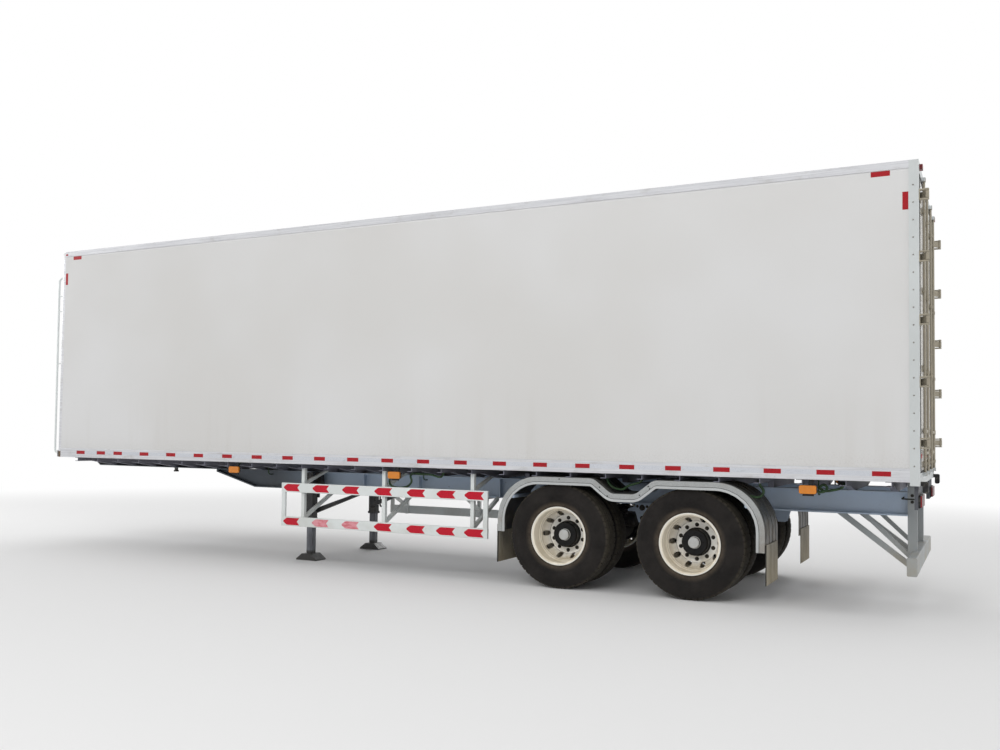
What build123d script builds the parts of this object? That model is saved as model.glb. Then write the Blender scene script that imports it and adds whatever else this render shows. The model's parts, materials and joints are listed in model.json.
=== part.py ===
from build123d import *
import math
import os

# Two-axle insulated box semi trailer, parked on its landing legs. Millimetres.
# +X points to the kingpin end, +Y to the left side, +Z up.
# The origin lies on the ground, below the middle of the box.

os.makedirs("parts", exist_ok=True)

# Clearances
SEAT = 0.3                    # between curved pieces that rest on each other
ROUND_END_FLAT = 1            # left straight at the rounded ends of grips and levers
RUNNING_FIT = 0.1             # radial, between a pin or spindle and its bore

# Box body
BOX_LENGTH = 10750
BOX_WIDTH = 2550
BOX_TOP = 4000                # roof edge above the ground
DECK_HEIGHT = 1190            # underside of the floor
FLOOR_THICKNESS = 80
WALL_THICKNESS = 75
ROOF_THICKNESS = 80
RAIL_THICKNESS = 8            # outer leg of the bottom and top rails
RAIL_EDGE_RADIUS = 3
BOTTOM_RAIL_HEIGHT = 120
TOP_RAIL_HEIGHT = 70
TOP_RAIL_COVER = 60           # leg of the top rail that lies on the roof
FRONT_POST_RADIUS = 40

# Rear frame and doors
REAR_FRAME_DEPTH = 80
REAR_POST_WIDTH = 70
HEADER_HEIGHT = 110
SILL_HEIGHT = 110
DOOR_THICKNESS = 75
DOOR_GAP = 6                  # round the edge of each door
DOOR_EDGE_BEVEL = 14          # on the inner corner of the free edge
BUFFER_INSET = 72             # from the box's side
BUFFER_WIDTH = 108
BUFFER_DEPTH = 60             # behind the rear face
BUFFER_PAD_SIZE = (45, 100)   # depth and height of the rubber pad
BUFFER_RAISE = 35             # of the pad's top above the sill's underside

# Door hinges
HINGE_HEIGHTS = (1530, 2060, 2600, 3150, 3690)
HINGE_SETBACK = 66            # pin behind the rear face
HINGE_INSET = 22              # pin inside the box's side plane
HINGE_PIN_RADIUS = 9
HINGE_PIN_HEAD = (13, 5)      # radius and height
HINGE_KNUCKLE_RADIUS = 16
HINGE_ARM_HEIGHT = 60
HINGE_LUG_THICKNESS = 12
HINGE_LUG_GAP = 5
HINGE_PLATE_THICKNESS = 8
HINGE_PLATE_WIDTH = 36
HINGE_BLADE_LENGTH = 220      # from the pin, across the door
HINGE_ARM_BACK_START = (6, 14)      # ahead of the pin and inwards of it
HINGE_ARM_BACK_END = 88       # inwards of the pin, on the blade's rear face
HINGE_ARM_FACE_START = (14, 3)      # ahead of the pin and inwards of it
HINGE_ARM_FACE_END = 66       # inwards of the pin, on the door's face

# Door lock rods
ROD_RADIUS = 12
ROD_STANDOFF = 8              # gap between a rod and the door
ROD_OFFSETS = (385, 925)      # from the hinge pin towards the middle
ROD_OVERRUN = 40              # past the door's top and bottom edges
CAM_SIZE = (30, 36, 30)       # depth, width and height of the block at a rod's end
CAM_FACE_GAP = 6              # between a cam and the frame
KEEPER_GAP = 9                # each side of a cam
KEEPER_THICKNESS = 8
KEEPER_DEPTH = 34
GUIDE_HEIGHTS = (1340, 2200, 2900, 3620)
GUIDE_PLATE_SIZE = (6, 90, 56)    # thickness, width and height
GUIDE_SADDLE_WALL = 4
GUIDE_SADDLE_HEIGHT = 30
HANDLE_LENGTH = 400
HANDLE_SECTION = (8, 26)      # thickness and height
HANDLE_COLLAR_HEIGHT = 44
CATCH_SIZE = (50, 60)         # width and height
HANDLES = (
    # offset of the handle's rod, direction (1 is outwards), height
    (385, -1, 1640),
    (925, 1, 1440),
)

# Kingpin and its plate
KINGPIN_SETBACK = 955         # from the box's front face
KINGPIN_PROFILE = (
    # radius, length downwards from the plate
    (36.5, 30),
    (25.4, 35),
    (35.75, 19),
)
KINGPIN_FLANGE_RADIUS = 90
KINGPIN_SPIGOT_RADIUS = 60    # in the plate's hole
KINGPIN_FLANGE_THICKNESS = 16
COUPLER_FRONT_INSET = 85      # of the lip's root, from the box's front face
COUPLER_HALF_WIDTH = 600
COUPLER_THICKNESS = 10
COUPLER_LIP = (55, 40)        # run and rise of the upturned front edge

# Chassis beams
BEAM_Y = 500
BEAM_FLANGE_WIDTH = 140
BEAM_FLANGE_THICKNESS = 14
BEAM_WEB_THICKNESS = 8
BEAM_BOTTOM = 850
BEAM_TOP = 1075               # also the underside of the cross members
BEAM_REAR_INSET = 147         # from the box's rear face
BEAM_STEP_START = 1920        # behind the kingpin
BEAM_NOSE_END = 1270          # behind the kingpin
BEAM_NOSE_DEPTH = 45
BEAM_NOSE_WALL = 20
STIFFENER_X = (-1020, 40, 820)
STIFFENER_THICKNESS = 12

# Cross members
CROSS_PITCH = 375
CROSS_ORIGIN_X = 125
CROSS_MARGIN = 240            # least distance from the box's ends
CROSS_WIDTH = 55
CROSS_FLANGE_THICKNESS = 6
CROSS_WEB_THICKNESS = 6
CROSS_END_DEPTH = 50
CROSS_TAPER_START_Y = 580
CROSS_TAPER_END_Y = 1000
CROSS_WHEEL_TAPER_END_Y = 612
CROSS_END_INSET = 15

# Wheels
REAR_AXLE_INSET = 2015        # from the box's rear face
AXLE_SPREAD = 1355
WHEEL_RADIUS = 535
TYRE_WIDTH = 300
TYRE_BEAD_BULGE = (8, 22)     # outwards and up, from the bead's heel
TYRE_WIDEST_DROP = 120        # of the widest place, below the tread
TYRE_SHOULDER = (
    # in from the side, down from the tread
    (18, 26),
    (25, 10),
    (42, 4),
)
TRACK_WHEEL_Y = 1095          # middle of the outer tyre
DUAL_SPACING = 340
BEAD_RADIUS = 285.4
RIM_FLANGE_RADIUS = 298.5
RIM_HALF_WIDTH = 125
RIM_BEAD_HALF = 110
RIM_LIP = 8
RIM_THICKNESS = 11
RIM_WELL_CENTRE = 60          # away from the wheel's open face
RIM_WELL_HALF = 40
RIM_WELL_SLOPE = 15
RIM_WELL_DEPTH = 34
DISC_THICKNESS = 12
DISC_BORE_RADIUS = 140.5
DISC_FLAT_RADIUS = 203
DISC_WELD = 16                # length of the disc's edge in the rim's well
HAND_HOLE_COUNT = 10
HAND_HOLE_RADIUS = 28
HAND_HOLE_CIRCLE = 228
HUB_RADIUS = 130
HUB_FLANGE_RADIUS = 200
HUB_FLANGE_THICKNESS = 18
HUB_END_Y = 1030
HUB_BEVEL = 12
HUB_CAP_RADIUS = 55
HUB_CAP_LENGTH = 42
HUB_CAP_BEVEL = 8
DRUM_RADIUS = 215
DRUM_WALL = 15
DRUM_SHOULDER = 25            # length of the cone between drum and flange
DRUM_INNER_Y = 680
BEARING_INSET = 20            # of the hub's tube, inside the drum's open end
BEARING_WALL = 25
SPINDLE_END_GAP = 5

# Axles and springs
AXLE_TUBE_RADIUS = 63.5
SPINDLE_RADIUS = 50
SPINDLE_START_Y = 640
SPINDLE_END_Y = 1000
BACKPLATE_RADIUS = 195
BACKPLATE_SPAN = (660, 668)
SPRING_Y = 500
SPRING_WIDTH = 90
SPRING_HALF_LENGTH = 560
SPRING_CENTRE_HEIGHT = 700    # top of the main leaf at the axle
SPRING_END_HEIGHT = 770
LEAF_COUNT = 6
LEAF_THICKNESS = 12
LEAF_STEP = 80                # each leaf is this much shorter, at each end
SPRING_SEAT_LENGTH = 120
CLAMP_PLATE = (180, 136, 13)  # length, width and thickness
CLAMP_BOLT_RADIUS = 8
CLAMP_BOLT_PLACE = (76, 55)   # from the axle and from the spring's middle
HANGER_WIDTH = 126
HANGER_PLATE = 12
HANGER_LENGTH = 150
HANGER_FOOT_LENGTH = 80
HANGER_BOTTOM = 660
SPRING_LAP = 50               # of hanger pads and equaliser over a spring's end
EQUALISER_WIDTH = 60
EQUALISER_HUB_LENGTH = 120
EQUALISER_TIP = 26
EQUALISER_PIVOT = (815, 20)   # height and radius
RADIUS_ROD_WIDTH = 40
RADIUS_ROD_DEPTH = 30
RADIUS_ROD_HEIGHTS = (588, 705)   # at the axle and at the hanger
RADIUS_ROD_EYE = 26
RADIUS_ROD_PIN = 12

# Brakes
BRAKE_CHAMBER_RADIUS = 82
BRAKE_CHAMBER_LENGTH = 150
BRAKE_CHAMBER_EDGE = 18
BRAKE_CHAMBER_Y = 355
BRAKE_CHAMBER_BACK = 170      # behind the axle's centre
BRAKE_CHAMBER_RAISE = 75      # above the axle's centre
BRAKE_BAND = (5, 18)          # height and width
BRAKE_BRACKET_WIDTH = 40
BRAKE_BRACKET_PLATE = 10
PUSHROD_RADIUS = 9
CAMSHAFT_RADIUS = 19
CAMSHAFT_AHEAD = 115          # of the axle's centre
CAMSHAFT_DROP = 55            # below the axle's centre
CAMSHAFT_INNER_Y = 325
LEVER_WIDTH = 44
LEVER_THICKNESS = 20

# Air tank
TANK_MEMBER = -2              # the cross member that it hangs from
TANK_RADIUS = 130
TANK_LENGTH = 800
TANK_HEIGHT = 925
TANK_EDGE = 30
TANK_STRAP_Y = 220
TANK_STRAP = (4, 40)          # thickness and width

# Fenders
FENDER_REACH = (665, 710)     # ahead of the front axle, behind the rear axle
FENDER_TOP_GAP = 5            # below the cross members' ends
FENDER_DIP = 990
FENDER_FRONT_END = 555
FENDER_REAR_END = 500
FENDER_THICKNESS = 5
FENDER_INNER_Y = 620
FENDER_SIDE_INSET = 13        # inside the box's side plane
FENDER_SKIRT_DEPTH = 78
FENDER_SKIRT_THICKNESS = 10
FENDER_CORNER_RADIUS = 455
FENDER_DIP_RADIUS = 120
FENDER_DIP_TOP = 620          # distance between the two upper shoulders
FENDER_DIP_BOTTOM = 250       # distance between the two lower shoulders
FENDER_RIB_HEIGHT = 4
FENDER_RIB_WIDTH = 16
FENDER_RIB_OFFSETS = (60, 220, 380, 540)    # inwards from the outer edge
FENDER_ARM_RADIUS = 21
FENDER_ARM_HEIGHT = 925       # of the front and rear arms
FENDER_ARM_INSET = 165        # of those arms, from the fender's ends

# Mud flaps
FLAP_THICKNESS = 8
FLAP_WIDTH = 567
FLAP_SIDE_INSET = 17          # inside the fender's edge
FRONT_FLAP_BOTTOM = 230
REAR_FLAP_BOTTOM = 196
FLAP_LAP = 70                 # over the fender's end

# Side guards
GUARD_SIDE_INSET = 50         # inside the box's side plane
GUARD_THICKNESS = 30
GUARD_PAST_LEG = 50
GUARD_FENDER_GAP = 140
GUARD_RAIL_HEIGHT = 110
GUARD_RAIL_BOTTOMS = (455, 853)
GUARD_END_WIDTH = 55
GUARD_EDGE_RADIUS = 6
GUARD_POST_MEMBERS = (-3, 0, 3)   # cross members that carry the posts
GUARD_POST_SIZE = (42, 45)    # along the trailer and across it
GUARD_STRUT_WIDTH = 36
GUARD_LOW_STRUT = (545, 42)   # underside at the post, depth
GUARD_HIGH_STRUT = (945, 36)
GUARD_HIGH_STRUT_Y = (700, 760)   # where it meets the cross member

# Landing legs
LEG_BEHIND_PIN = 2930
LEG_Y = 695
LEG_OUTER = 104
LEG_INNER = 86
LEG_EDGE_RADIUS = 10
LEG_OUTER_BOTTOM = 480
LEG_COLLAR = (120, 30)        # size and height, at the outer tube's end
LEG_TOP = 1070
LEG_BRACKET_LENGTH = 180
FOOT_LENGTH = 300
FOOT_TOP_LENGTH = 130
FOOT_WIDTH = 200
FOOT_HEIGHT = 80
FOOT_RIM = 15
GEARBOX_SIZE = (120, 30, 110)     # length, depth and height, on a leg's inner face
LEG_SHAFT_RADIUS = 14
LEG_SHAFT_HEIGHT = 815
BRACE_WIDTH = 50
BRACE_DEPTH = 60
BRACE_LOW_HEIGHT = 560
BRACE_RUN = 730
BRACE_FOOT_THICKNESS = 12
BRACE_FOOT_LENGTH = 90
CRANK_RADIUS = 11
CRANK_BEND = 30
CRANK_REACH = 103             # shaft, out from the leg's face
CRANK_DROP = 255
CRANK_GRIP = 110

# Rear underride guard
UNDERRIDE_SIDE_INSET = 100
UNDERRIDE_BAR_INSET = 30      # from the box's rear face
UNDERRIDE_BAR_SIZE = (85, 160)    # depth and height
UNDERRIDE_BAR_BOTTOM = 370
UNDERRIDE_BAR_EDGE = 12
UNDERRIDE_POST_SIZE = (81, 60)    # depth and width
UNDERRIDE_BRACES = (
    # run ahead of the post, height of the low end's middle, thickness
    (583, 402, 50),
    (377, 490, 40),
)

# Lamps
LAMP_PANEL_SIDE_INSET = 95
LAMP_PANEL_WIDTH = 480
LAMP_PANEL_BOTTOM = 950
LAMP_PANEL_THICKNESS = 30
LAMP_PANEL_INSET = 20         # from the box's rear face
TAIL_LAMP_SIZE = (30, 130, 100)   # depth, width and height
TAIL_LAMP_COUNT = 3
TAIL_LAMP_EDGE = 12
TAIL_LAMP_SPACING = 10
TAIL_LAMP_MARGIN = 20         # from the panel's outer and lower edges
SIDE_LAMP_BAYS = (
    # cross member behind the lamp, share of the pitch ahead of it
    (-13, 0.808),
    (-1, 0.56),
    (5, 0.7),
)
SIDE_LAMP_SIZE = (150, 36, 75)    # length, depth and height
SIDE_LAMP_EDGE = 16
SIDE_LAMP_SIDE_INSET = 20
SIDE_LAMP_DROP = 55           # of the lens's top, below the floor
SIDE_LAMP_BASE = (100, 6, 22)     # length, thickness, reach below the lens
SIDE_LAMP_STRIP = 40
CLEARANCE_LAMP_SIZE = (28, 90, 44)
CLEARANCE_LAMP_EDGE = 10
CLEARANCE_LAMP_SIDE_INSET = 125
CLEARANCE_LAMP_DROP = 25      # below the header's top

# Leads from the lamps to the beams
LEAD_RADIUS = 7
LEAD_BEND = 40
LEAD_LAMP_HEIGHT = 1095
LEAD_TURN_Y = 63              # inwards from the lamp's back
LEAD_FALL_Y = 590
LEAD_BEAM_HEIGHT = 1020
TAIL_LEAD_RUN = 130           # ahead of the lamp panel
TAIL_LEAD_Y = 780

# Front fittings
GRAB_RAIL_RADIUS = 13.5
GRAB_RAIL_REACH = 92
GRAB_RAIL_SPAN_Z = (1245, 3650)
GRAB_RAIL_BEND = 55
GRAB_RAIL_STAYS = (2470, 3190, 3400)
COUPLING_PANEL_SIZE = (60, 620, 190)
COUPLING_PANEL_HEIGHT = 1340
COUPLING_OFFSETS = (-225, -75, 75, 225)
COUPLING_STUB = (28, 45)      # radius and length

# Sizes that follow from the ones above
SIDES = ((1, "left"), (-1, "right"))
front_x = BOX_LENGTH / 2
rear_x = -BOX_LENGTH / 2
half_width = BOX_WIDTH / 2
floor_top = DECK_HEIGHT + FLOOR_THICKNESS
roof_top = BOX_TOP - RAIL_THICKNESS
roof_bottom = roof_top - ROOF_THICKNESS
skin_y = half_width - RAIL_THICKNESS
frame_x = rear_x + REAR_FRAME_DEPTH
header_bottom = BOX_TOP - HEADER_HEIGHT
sill_bottom = floor_top - SILL_HEIGHT
side_span_x = (frame_x, front_x - WALL_THICKNESS)
door_bottom = floor_top + DOOR_GAP
door_top = header_bottom - DOOR_GAP
door_outer_y = half_width - REAR_POST_WIDTH - DOOR_GAP
door_free_y = DOOR_GAP - 1
pin_x = rear_x - HINGE_SETBACK
pin_y = half_width - HINGE_INSET
kingpin_x = front_x - KINGPIN_SETBACK
nose_x = kingpin_x - BEAM_NOSE_END
beam_rear_x = rear_x + BEAM_REAR_INSET
coupler_bottom = BEAM_TOP - COUPLER_THICKNESS
flange_edge_y = BEAM_Y + BEAM_FLANGE_WIDTH / 2
web_face_y = BEAM_Y + BEAM_WEB_THICKNESS / 2
rear_axle_x = rear_x + REAR_AXLE_INSET
front_axle_x = rear_axle_x + AXLE_SPREAD
AXLES = ((front_axle_x, "front"), (rear_axle_x, "rear"))
inner_wheel_y = TRACK_WHEEL_Y - DUAL_SPACING
mount_y = TRACK_WHEEL_Y - DUAL_SPACING / 2
fender_front_x = front_axle_x + FENDER_REACH[0]
fender_rear_x = rear_axle_x - FENDER_REACH[1]
fender_outer_y = half_width - FENDER_SIDE_INSET
bogie_x = (fender_front_x + fender_rear_x) / 2
cross_end_y = half_width - CROSS_END_INSET
cross_end_bottom = DECK_HEIGHT - CROSS_END_DEPTH
first_member = math.ceil((rear_x + CROSS_MARGIN - CROSS_ORIGIN_X) / CROSS_PITCH)
last_member = math.floor((front_x - CROSS_MARGIN - CROSS_ORIGIN_X) / CROSS_PITCH)
leg_x = kingpin_x - LEG_BEHIND_PIN
leg_face_y = LEG_Y - LEG_OUTER / 2


def member_x(member):
    """Middle of a cross member, by its number; a share of the pitch is allowed."""
    return CROSS_ORIGIN_X + member * CROSS_PITCH


def around(centre, size):
    """The span of a size about its middle."""
    return (centre - size / 2, centre + size / 2)


def side_span(side, inner, outer):
    """A y span given for the left side, mirrored for the right."""
    return (side * inner, side * outer)


def along(axis, span):
    """The plane and the extrusion that fill a span along an axis."""
    if axis == "y":
        return Plane.XZ.offset(-span[0]), span[0] - span[1]
    plane = Plane.YZ if axis == "x" else Plane.XY
    return plane.offset(span[0]), span[1] - span[0]


def block(x_span, y_span, z_span, mode=Mode.ADD):
    """Add or cut a box that fills three spans."""
    spans = (x_span, y_span, z_span)
    size = [abs(span[1] - span[0]) for span in spans]
    with Locations(tuple((span[0] + span[1]) / 2 for span in spans)):
        Box(*size, mode=mode)


def prism(axis, points, span, mode=Mode.ADD):
    """Add or cut a straight-sided outline, drawn across an axis, over a span along it."""
    plane, amount = along(axis, span)
    with BuildSketch(plane) as outline:
        with BuildLine():
            Polyline(*points, close=True)
        make_face()
    extrude(outline.sketch, amount=amount, mode=mode)


def cylinder(axis, place, radius, span, mode=Mode.ADD):
    """Add or cut a cylinder along an axis, at a place across it."""
    plane, amount = along(axis, span)
    with BuildSketch(plane) as section:
        with Locations(place):
            Circle(radius)
    extrude(section.sketch, amount=amount, mode=mode)


def rounded_bar(axis, place, size, radius, span):
    """Add a bar of rounded rectangular section along an axis."""
    plane, amount = along(axis, span)
    with BuildSketch(plane) as section:
        with Locations(place):
            RectangleRounded(*size, radius)
    extrude(section.sketch, amount=amount)


def tube_path(points, bend, radius):
    """Add a round tube along straight runs joined by bends."""
    with BuildLine() as path:
        FilletPolyline(*points, radius=bend)
    start = path.line @ 0
    with BuildSketch(Plane(origin=start, z_dir=path.line % 0)) as section:
        Circle(radius)
    sweep(section.sketch, path=path.line)


# Floor, walls and roof
with BuildPart() as floor:
    block((frame_x, front_x), (-skin_y, skin_y), (DECK_HEIGHT, floor_top))
    front_corners = floor.edges().filter_by(Axis.Z).group_by(Axis.X)[-1]
    fillet(front_corners, FRONT_POST_RADIUS)
floor.part.label = "floor"
export_step(floor.part, "parts/floor.step")

with BuildPart() as roof:
    block((frame_x, front_x), (-skin_y, skin_y), (roof_bottom, roof_top))
    front_corners = roof.edges().filter_by(Axis.Z).group_by(Axis.X)[-1]
    fillet(front_corners, FRONT_POST_RADIUS)
roof.part.label = "roof"
export_step(roof.part, "parts/roof.step")

wall_inner_y = skin_y - WALL_THICKNESS
for side, side_name in SIDES:
    with BuildPart() as side_wall:
        block(side_span_x, side_span(side, wall_inner_y, skin_y), (floor_top, roof_bottom))
    side_wall.part.label = f"{side_name}_side_wall"
    export_step(side_wall.part, f"parts/{side_name}_side_wall.step")

with BuildPart() as front_wall:
    block((front_x - WALL_THICKNESS, front_x), (-wall_inner_y, wall_inner_y), (floor_top, roof_bottom))
front_wall.part.label = "front_wall"
export_step(front_wall.part, "parts/front_wall.step")

with BuildPart() as front_corner_posts:
    for side, side_name in SIDES:
        post_y = side_span(side, wall_inner_y, skin_y)
        block((front_x - WALL_THICKNESS, front_x), post_y, (floor_top, roof_bottom))
    corners = front_corner_posts.edges().filter_by(Axis.Z).group_by(Axis.X)[-1]
    outer_corners = corners.filter_by(lambda edge: abs(edge.center().Y) > skin_y - 1)
    fillet(outer_corners, FRONT_POST_RADIUS)
front_corner_posts.part.label = "front_corner_posts"
export_step(front_corner_posts.part, "parts/front_corner_posts.step")

# The bottom rail covers the joint of floor and wall, the top rail that of wall and roof.
with BuildPart() as bottom_rails:
    for side, side_name in SIDES:
        rail_y = side_span(side, skin_y, half_width)
        block(side_span_x, rail_y, (DECK_HEIGHT, DECK_HEIGHT + BOTTOM_RAIL_HEIGHT))
    long_edges = bottom_rails.edges().filter_by(Axis.X)
    fillet(long_edges.filter_by(lambda edge: abs(edge.center().Y) > half_width - 1), RAIL_EDGE_RADIUS)
bottom_rails.part.label = "bottom_rails"
export_step(bottom_rails.part, "parts/bottom_rails.step")

with BuildPart() as top_rails:
    for side, side_name in SIDES:
        block(side_span_x, side_span(side, skin_y, half_width), (BOX_TOP - TOP_RAIL_HEIGHT, BOX_TOP))
        block(side_span_x, side_span(side, skin_y - TOP_RAIL_COVER, half_width), (roof_top, BOX_TOP))
    long_edges = top_rails.edges().filter_by(Axis.X)
    fillet(long_edges.filter_by(lambda edge: abs(edge.center().Y) > half_width - 1), RAIL_EDGE_RADIUS)
top_rails.part.label = "top_rails"
export_step(top_rails.part, "parts/top_rails.step")

# Rear frame
post_span_y = (half_width - REAR_POST_WIDTH, half_width)
with BuildPart() as rear_posts:
    for side, side_name in SIDES:
        block((rear_x, frame_x), side_span(side, *post_span_y), (sill_bottom, BOX_TOP))
    rear_corners = rear_posts.edges().filter_by(Axis.Z).group_by(Axis.X)[0]
    fillet(rear_corners.filter_by(lambda edge: abs(edge.center().Y) > half_width - 1), RAIL_EDGE_RADIUS)
rear_posts.part.label = "rear_posts"
export_step(rear_posts.part, "parts/rear_posts.step")


def keeper_lugs(side, z_span):
    """Add the pairs of lugs that stand on the frame beside the lock rods' cams."""
    for rod_offset in ROD_OFFSETS:
        rod_y = side * (pin_y - rod_offset)
        for shift in (-1, 1):
            lug_y = rod_y + shift * (CAM_SIZE[1] / 2 + KEEPER_GAP)
            block((rear_x - KEEPER_DEPTH, rear_x), (lug_y, lug_y + shift * KEEPER_THICKNESS), z_span)


with BuildPart() as rear_header:
    block((rear_x, frame_x), (-post_span_y[0], post_span_y[0]), (header_bottom, BOX_TOP))
    for side, side_name in SIDES:
        keeper_lugs(side, (header_bottom, door_top + ROD_OVERRUN))
rear_header.part.label = "rear_header"
export_step(rear_header.part, "parts/rear_header.step")

with BuildPart() as rear_sill:
    block((rear_x, frame_x), (-post_span_y[0], post_span_y[0]), (sill_bottom, floor_top))
    for side, side_name in SIDES:
        keeper_lugs(side, (door_bottom - ROD_OVERRUN, floor_top))
rear_sill.part.label = "rear_sill"
export_step(rear_sill.part, "parts/rear_sill.step")

# Rubber pads on carriers that stand on the rear sill's face
buffer_top = sill_bottom + BUFFER_RAISE
pad_depth, pad_height = BUFFER_PAD_SIZE
pad_middle = (rear_x - BUFFER_DEPTH + pad_depth / 2, buffer_top - pad_height / 2)
with BuildPart() as rear_buffers:
    for side, side_name in SIDES:
        buffer_y = side_span(side, half_width - BUFFER_INSET - BUFFER_WIDTH, half_width - BUFFER_INSET)
        rounded_bar("y", pad_middle, BUFFER_PAD_SIZE, pad_depth / 3, buffer_y)
        block((pad_middle[0], rear_x), buffer_y, (sill_bottom, buffer_top))
rear_buffers.part.label = "rear_buffers"
export_step(rear_buffers.part, "parts/rear_buffers.step")

# Fixed half of each hinge: a plate on the frame, two lugs and the headed pin
lug_inner = HINGE_ARM_HEIGHT / 2 + HINGE_LUG_GAP
lug_outer = lug_inner + HINGE_LUG_THICKNESS
with BuildPart() as door_hinge_brackets:
    for side, side_name in SIDES:
        pin_place = (pin_x, side * pin_y)
        for height in HINGE_HEIGHTS:
            plate_y = around(side * pin_y, HINGE_PLATE_WIDTH)
            block((rear_x - HINGE_PLATE_THICKNESS, rear_x), plate_y, around(height, 2 * lug_outer))
            for lug_bottom in (height - lug_outer, height + lug_inner):
                lug_z = (lug_bottom, lug_bottom + HINGE_LUG_THICKNESS)
                cylinder("z", pin_place, HINGE_KNUCKLE_RADIUS, lug_z)
                block((pin_x, rear_x), around(side * pin_y, 2 * HINGE_KNUCKLE_RADIUS), lug_z)
            cylinder("z", pin_place, HINGE_PIN_RADIUS, around(height, 2 * lug_outer))
            head_radius, head_height = HINGE_PIN_HEAD
            cylinder("z", pin_place, head_radius, (height + lug_outer, height + lug_outer + head_height))
door_hinge_brackets.part.label = "door_hinge_brackets"
export_step(door_hinge_brackets.part, "parts/door_hinge_brackets.step")

# Doors, with the hinge arms, the lock rods, their guides, cams and handles on them
rod_x = rear_x - ROD_STANDOFF - ROD_RADIUS
saddle_radius = ROD_RADIUS + GUIDE_SADDLE_WALL
plate_thickness, plate_width, plate_height = GUIDE_PLATE_SIZE
cam_depth, cam_width, cam_height = CAM_SIZE
handle_thickness, handle_height = HANDLE_SECTION
for side, side_name in SIDES:
    with BuildPart() as door:
        door_outline = (
            (rear_x, side * door_free_y),
            (rear_x, side * door_outer_y),
            (rear_x + DOOR_THICKNESS, side * door_outer_y),
            (rear_x + DOOR_THICKNESS, side * (door_free_y + DOOR_EDGE_BEVEL)),
        )
        prism("z", door_outline, (door_bottom, door_top))
    door.part.label = f"{side_name}_door"
    export_step(door.part, f"parts/{side_name}_door.step")

    with BuildPart() as door_hardware:
        back_ahead, back_inwards = HINGE_ARM_BACK_START
        face_ahead, face_inwards = HINGE_ARM_FACE_START
        arm_outline = (
            (pin_x + back_ahead, side * (pin_y - back_inwards)),
            (rear_x - HINGE_PLATE_THICKNESS, side * (pin_y - HINGE_ARM_BACK_END)),
            (rear_x - HINGE_PLATE_THICKNESS, side * (pin_y - HINGE_BLADE_LENGTH)),
            (rear_x, side * (pin_y - HINGE_BLADE_LENGTH)),
            (rear_x, side * (pin_y - HINGE_ARM_FACE_END)),
            (pin_x + face_ahead, side * (pin_y - face_inwards)),
        )
        for height in HINGE_HEIGHTS:
            arm_z = around(height, HINGE_ARM_HEIGHT)
            prism("z", arm_outline, arm_z)
            cylinder("z", (pin_x, side * pin_y), HINGE_KNUCKLE_RADIUS, arm_z)
            cylinder("z", (pin_x, side * pin_y), HINGE_PIN_RADIUS + RUNNING_FIT, arm_z, Mode.SUBTRACT)
        for rod_offset in ROD_OFFSETS:
            rod_y = side * (pin_y - rod_offset)
            rod_z = (door_bottom - ROD_OVERRUN, door_top + ROD_OVERRUN)
            cylinder("z", (rod_x, rod_y), ROD_RADIUS, rod_z)
            for height in GUIDE_HEIGHTS:
                guide_x = (rear_x - plate_thickness, rear_x)
                block(guide_x, around(rod_y, plate_width), around(height, plate_height))
                saddle_z = around(height, GUIDE_SADDLE_HEIGHT)
                cylinder("z", (rod_x, rod_y), saddle_radius, saddle_z)
                block((rod_x, rear_x), around(rod_y, 2 * saddle_radius), saddle_z)
            cam_x = (rear_x - CAM_FACE_GAP - cam_depth, rear_x - CAM_FACE_GAP)
            for cam_z in ((rod_z[0], rod_z[0] + cam_height), (rod_z[1] - cam_height, rod_z[1])):
                block(cam_x, around(rod_y, cam_width), cam_z)
        for rod_offset, way, height in HANDLES:
            rod_y = side * (pin_y - rod_offset)
            reach = way * side * HANDLE_LENGTH
            cylinder("z", (rod_x, rod_y), saddle_radius, around(height, HANDLE_COLLAR_HEIGHT))
            grip_x = (rod_x - handle_thickness, rod_x)
            grip_middle = (rod_y + reach / 2, height)
            grip_radius = handle_height / 2 - ROUND_END_FLAT
            rounded_bar("x", grip_middle, (HANDLE_LENGTH, handle_height), grip_radius, grip_x)
            catch_middle = rod_y + reach - way * side * CATCH_SIZE[0]
            block((rod_x, rear_x), around(catch_middle, CATCH_SIZE[0]), around(height, CATCH_SIZE[1]))
    door_hardware.part.label = f"{side_name}_door_hardware"
    export_step(door_hardware.part, f"parts/{side_name}_door_hardware.step")

# Main beams: an I section whose lower flange rises to the nose
step_start_x = kingpin_x - BEAM_STEP_START
nose_bottom = BEAM_TOP - BEAM_NOSE_DEPTH
pocket_end_x = nose_x - BEAM_NOSE_WALL
beam_outline = (
    (beam_rear_x, BEAM_BOTTOM),
    (step_start_x, BEAM_BOTTOM),
    (nose_x, nose_bottom),
    (nose_x, BEAM_TOP),
    (beam_rear_x, BEAM_TOP),
)
web_pocket = (
    (beam_rear_x, BEAM_BOTTOM + BEAM_FLANGE_THICKNESS),
    (step_start_x, BEAM_BOTTOM + BEAM_FLANGE_THICKNESS),
    (pocket_end_x, nose_bottom + BEAM_FLANGE_THICKNESS),
    (pocket_end_x, BEAM_TOP - BEAM_FLANGE_THICKNESS),
    (beam_rear_x, BEAM_TOP - BEAM_FLANGE_THICKNESS),
)
with BuildPart() as main_beams:
    for side, side_name in SIDES:
        prism("y", beam_outline, around(side * BEAM_Y, BEAM_FLANGE_WIDTH))
        for face in (1, -1):
            pocket_y = side * BEAM_Y + face * BEAM_WEB_THICKNESS / 2
            prism("y", web_pocket, (pocket_y, pocket_y + face * BEAM_FLANGE_WIDTH), Mode.SUBTRACT)
        for x in STIFFENER_X:
            block(around(x, STIFFENER_THICKNESS), side_span(side, web_face_y, flange_edge_y), (BEAM_BOTTOM, BEAM_TOP))
main_beams.part.label = "main_beams"
export_step(main_beams.part, "parts/main_beams.step")


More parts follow.
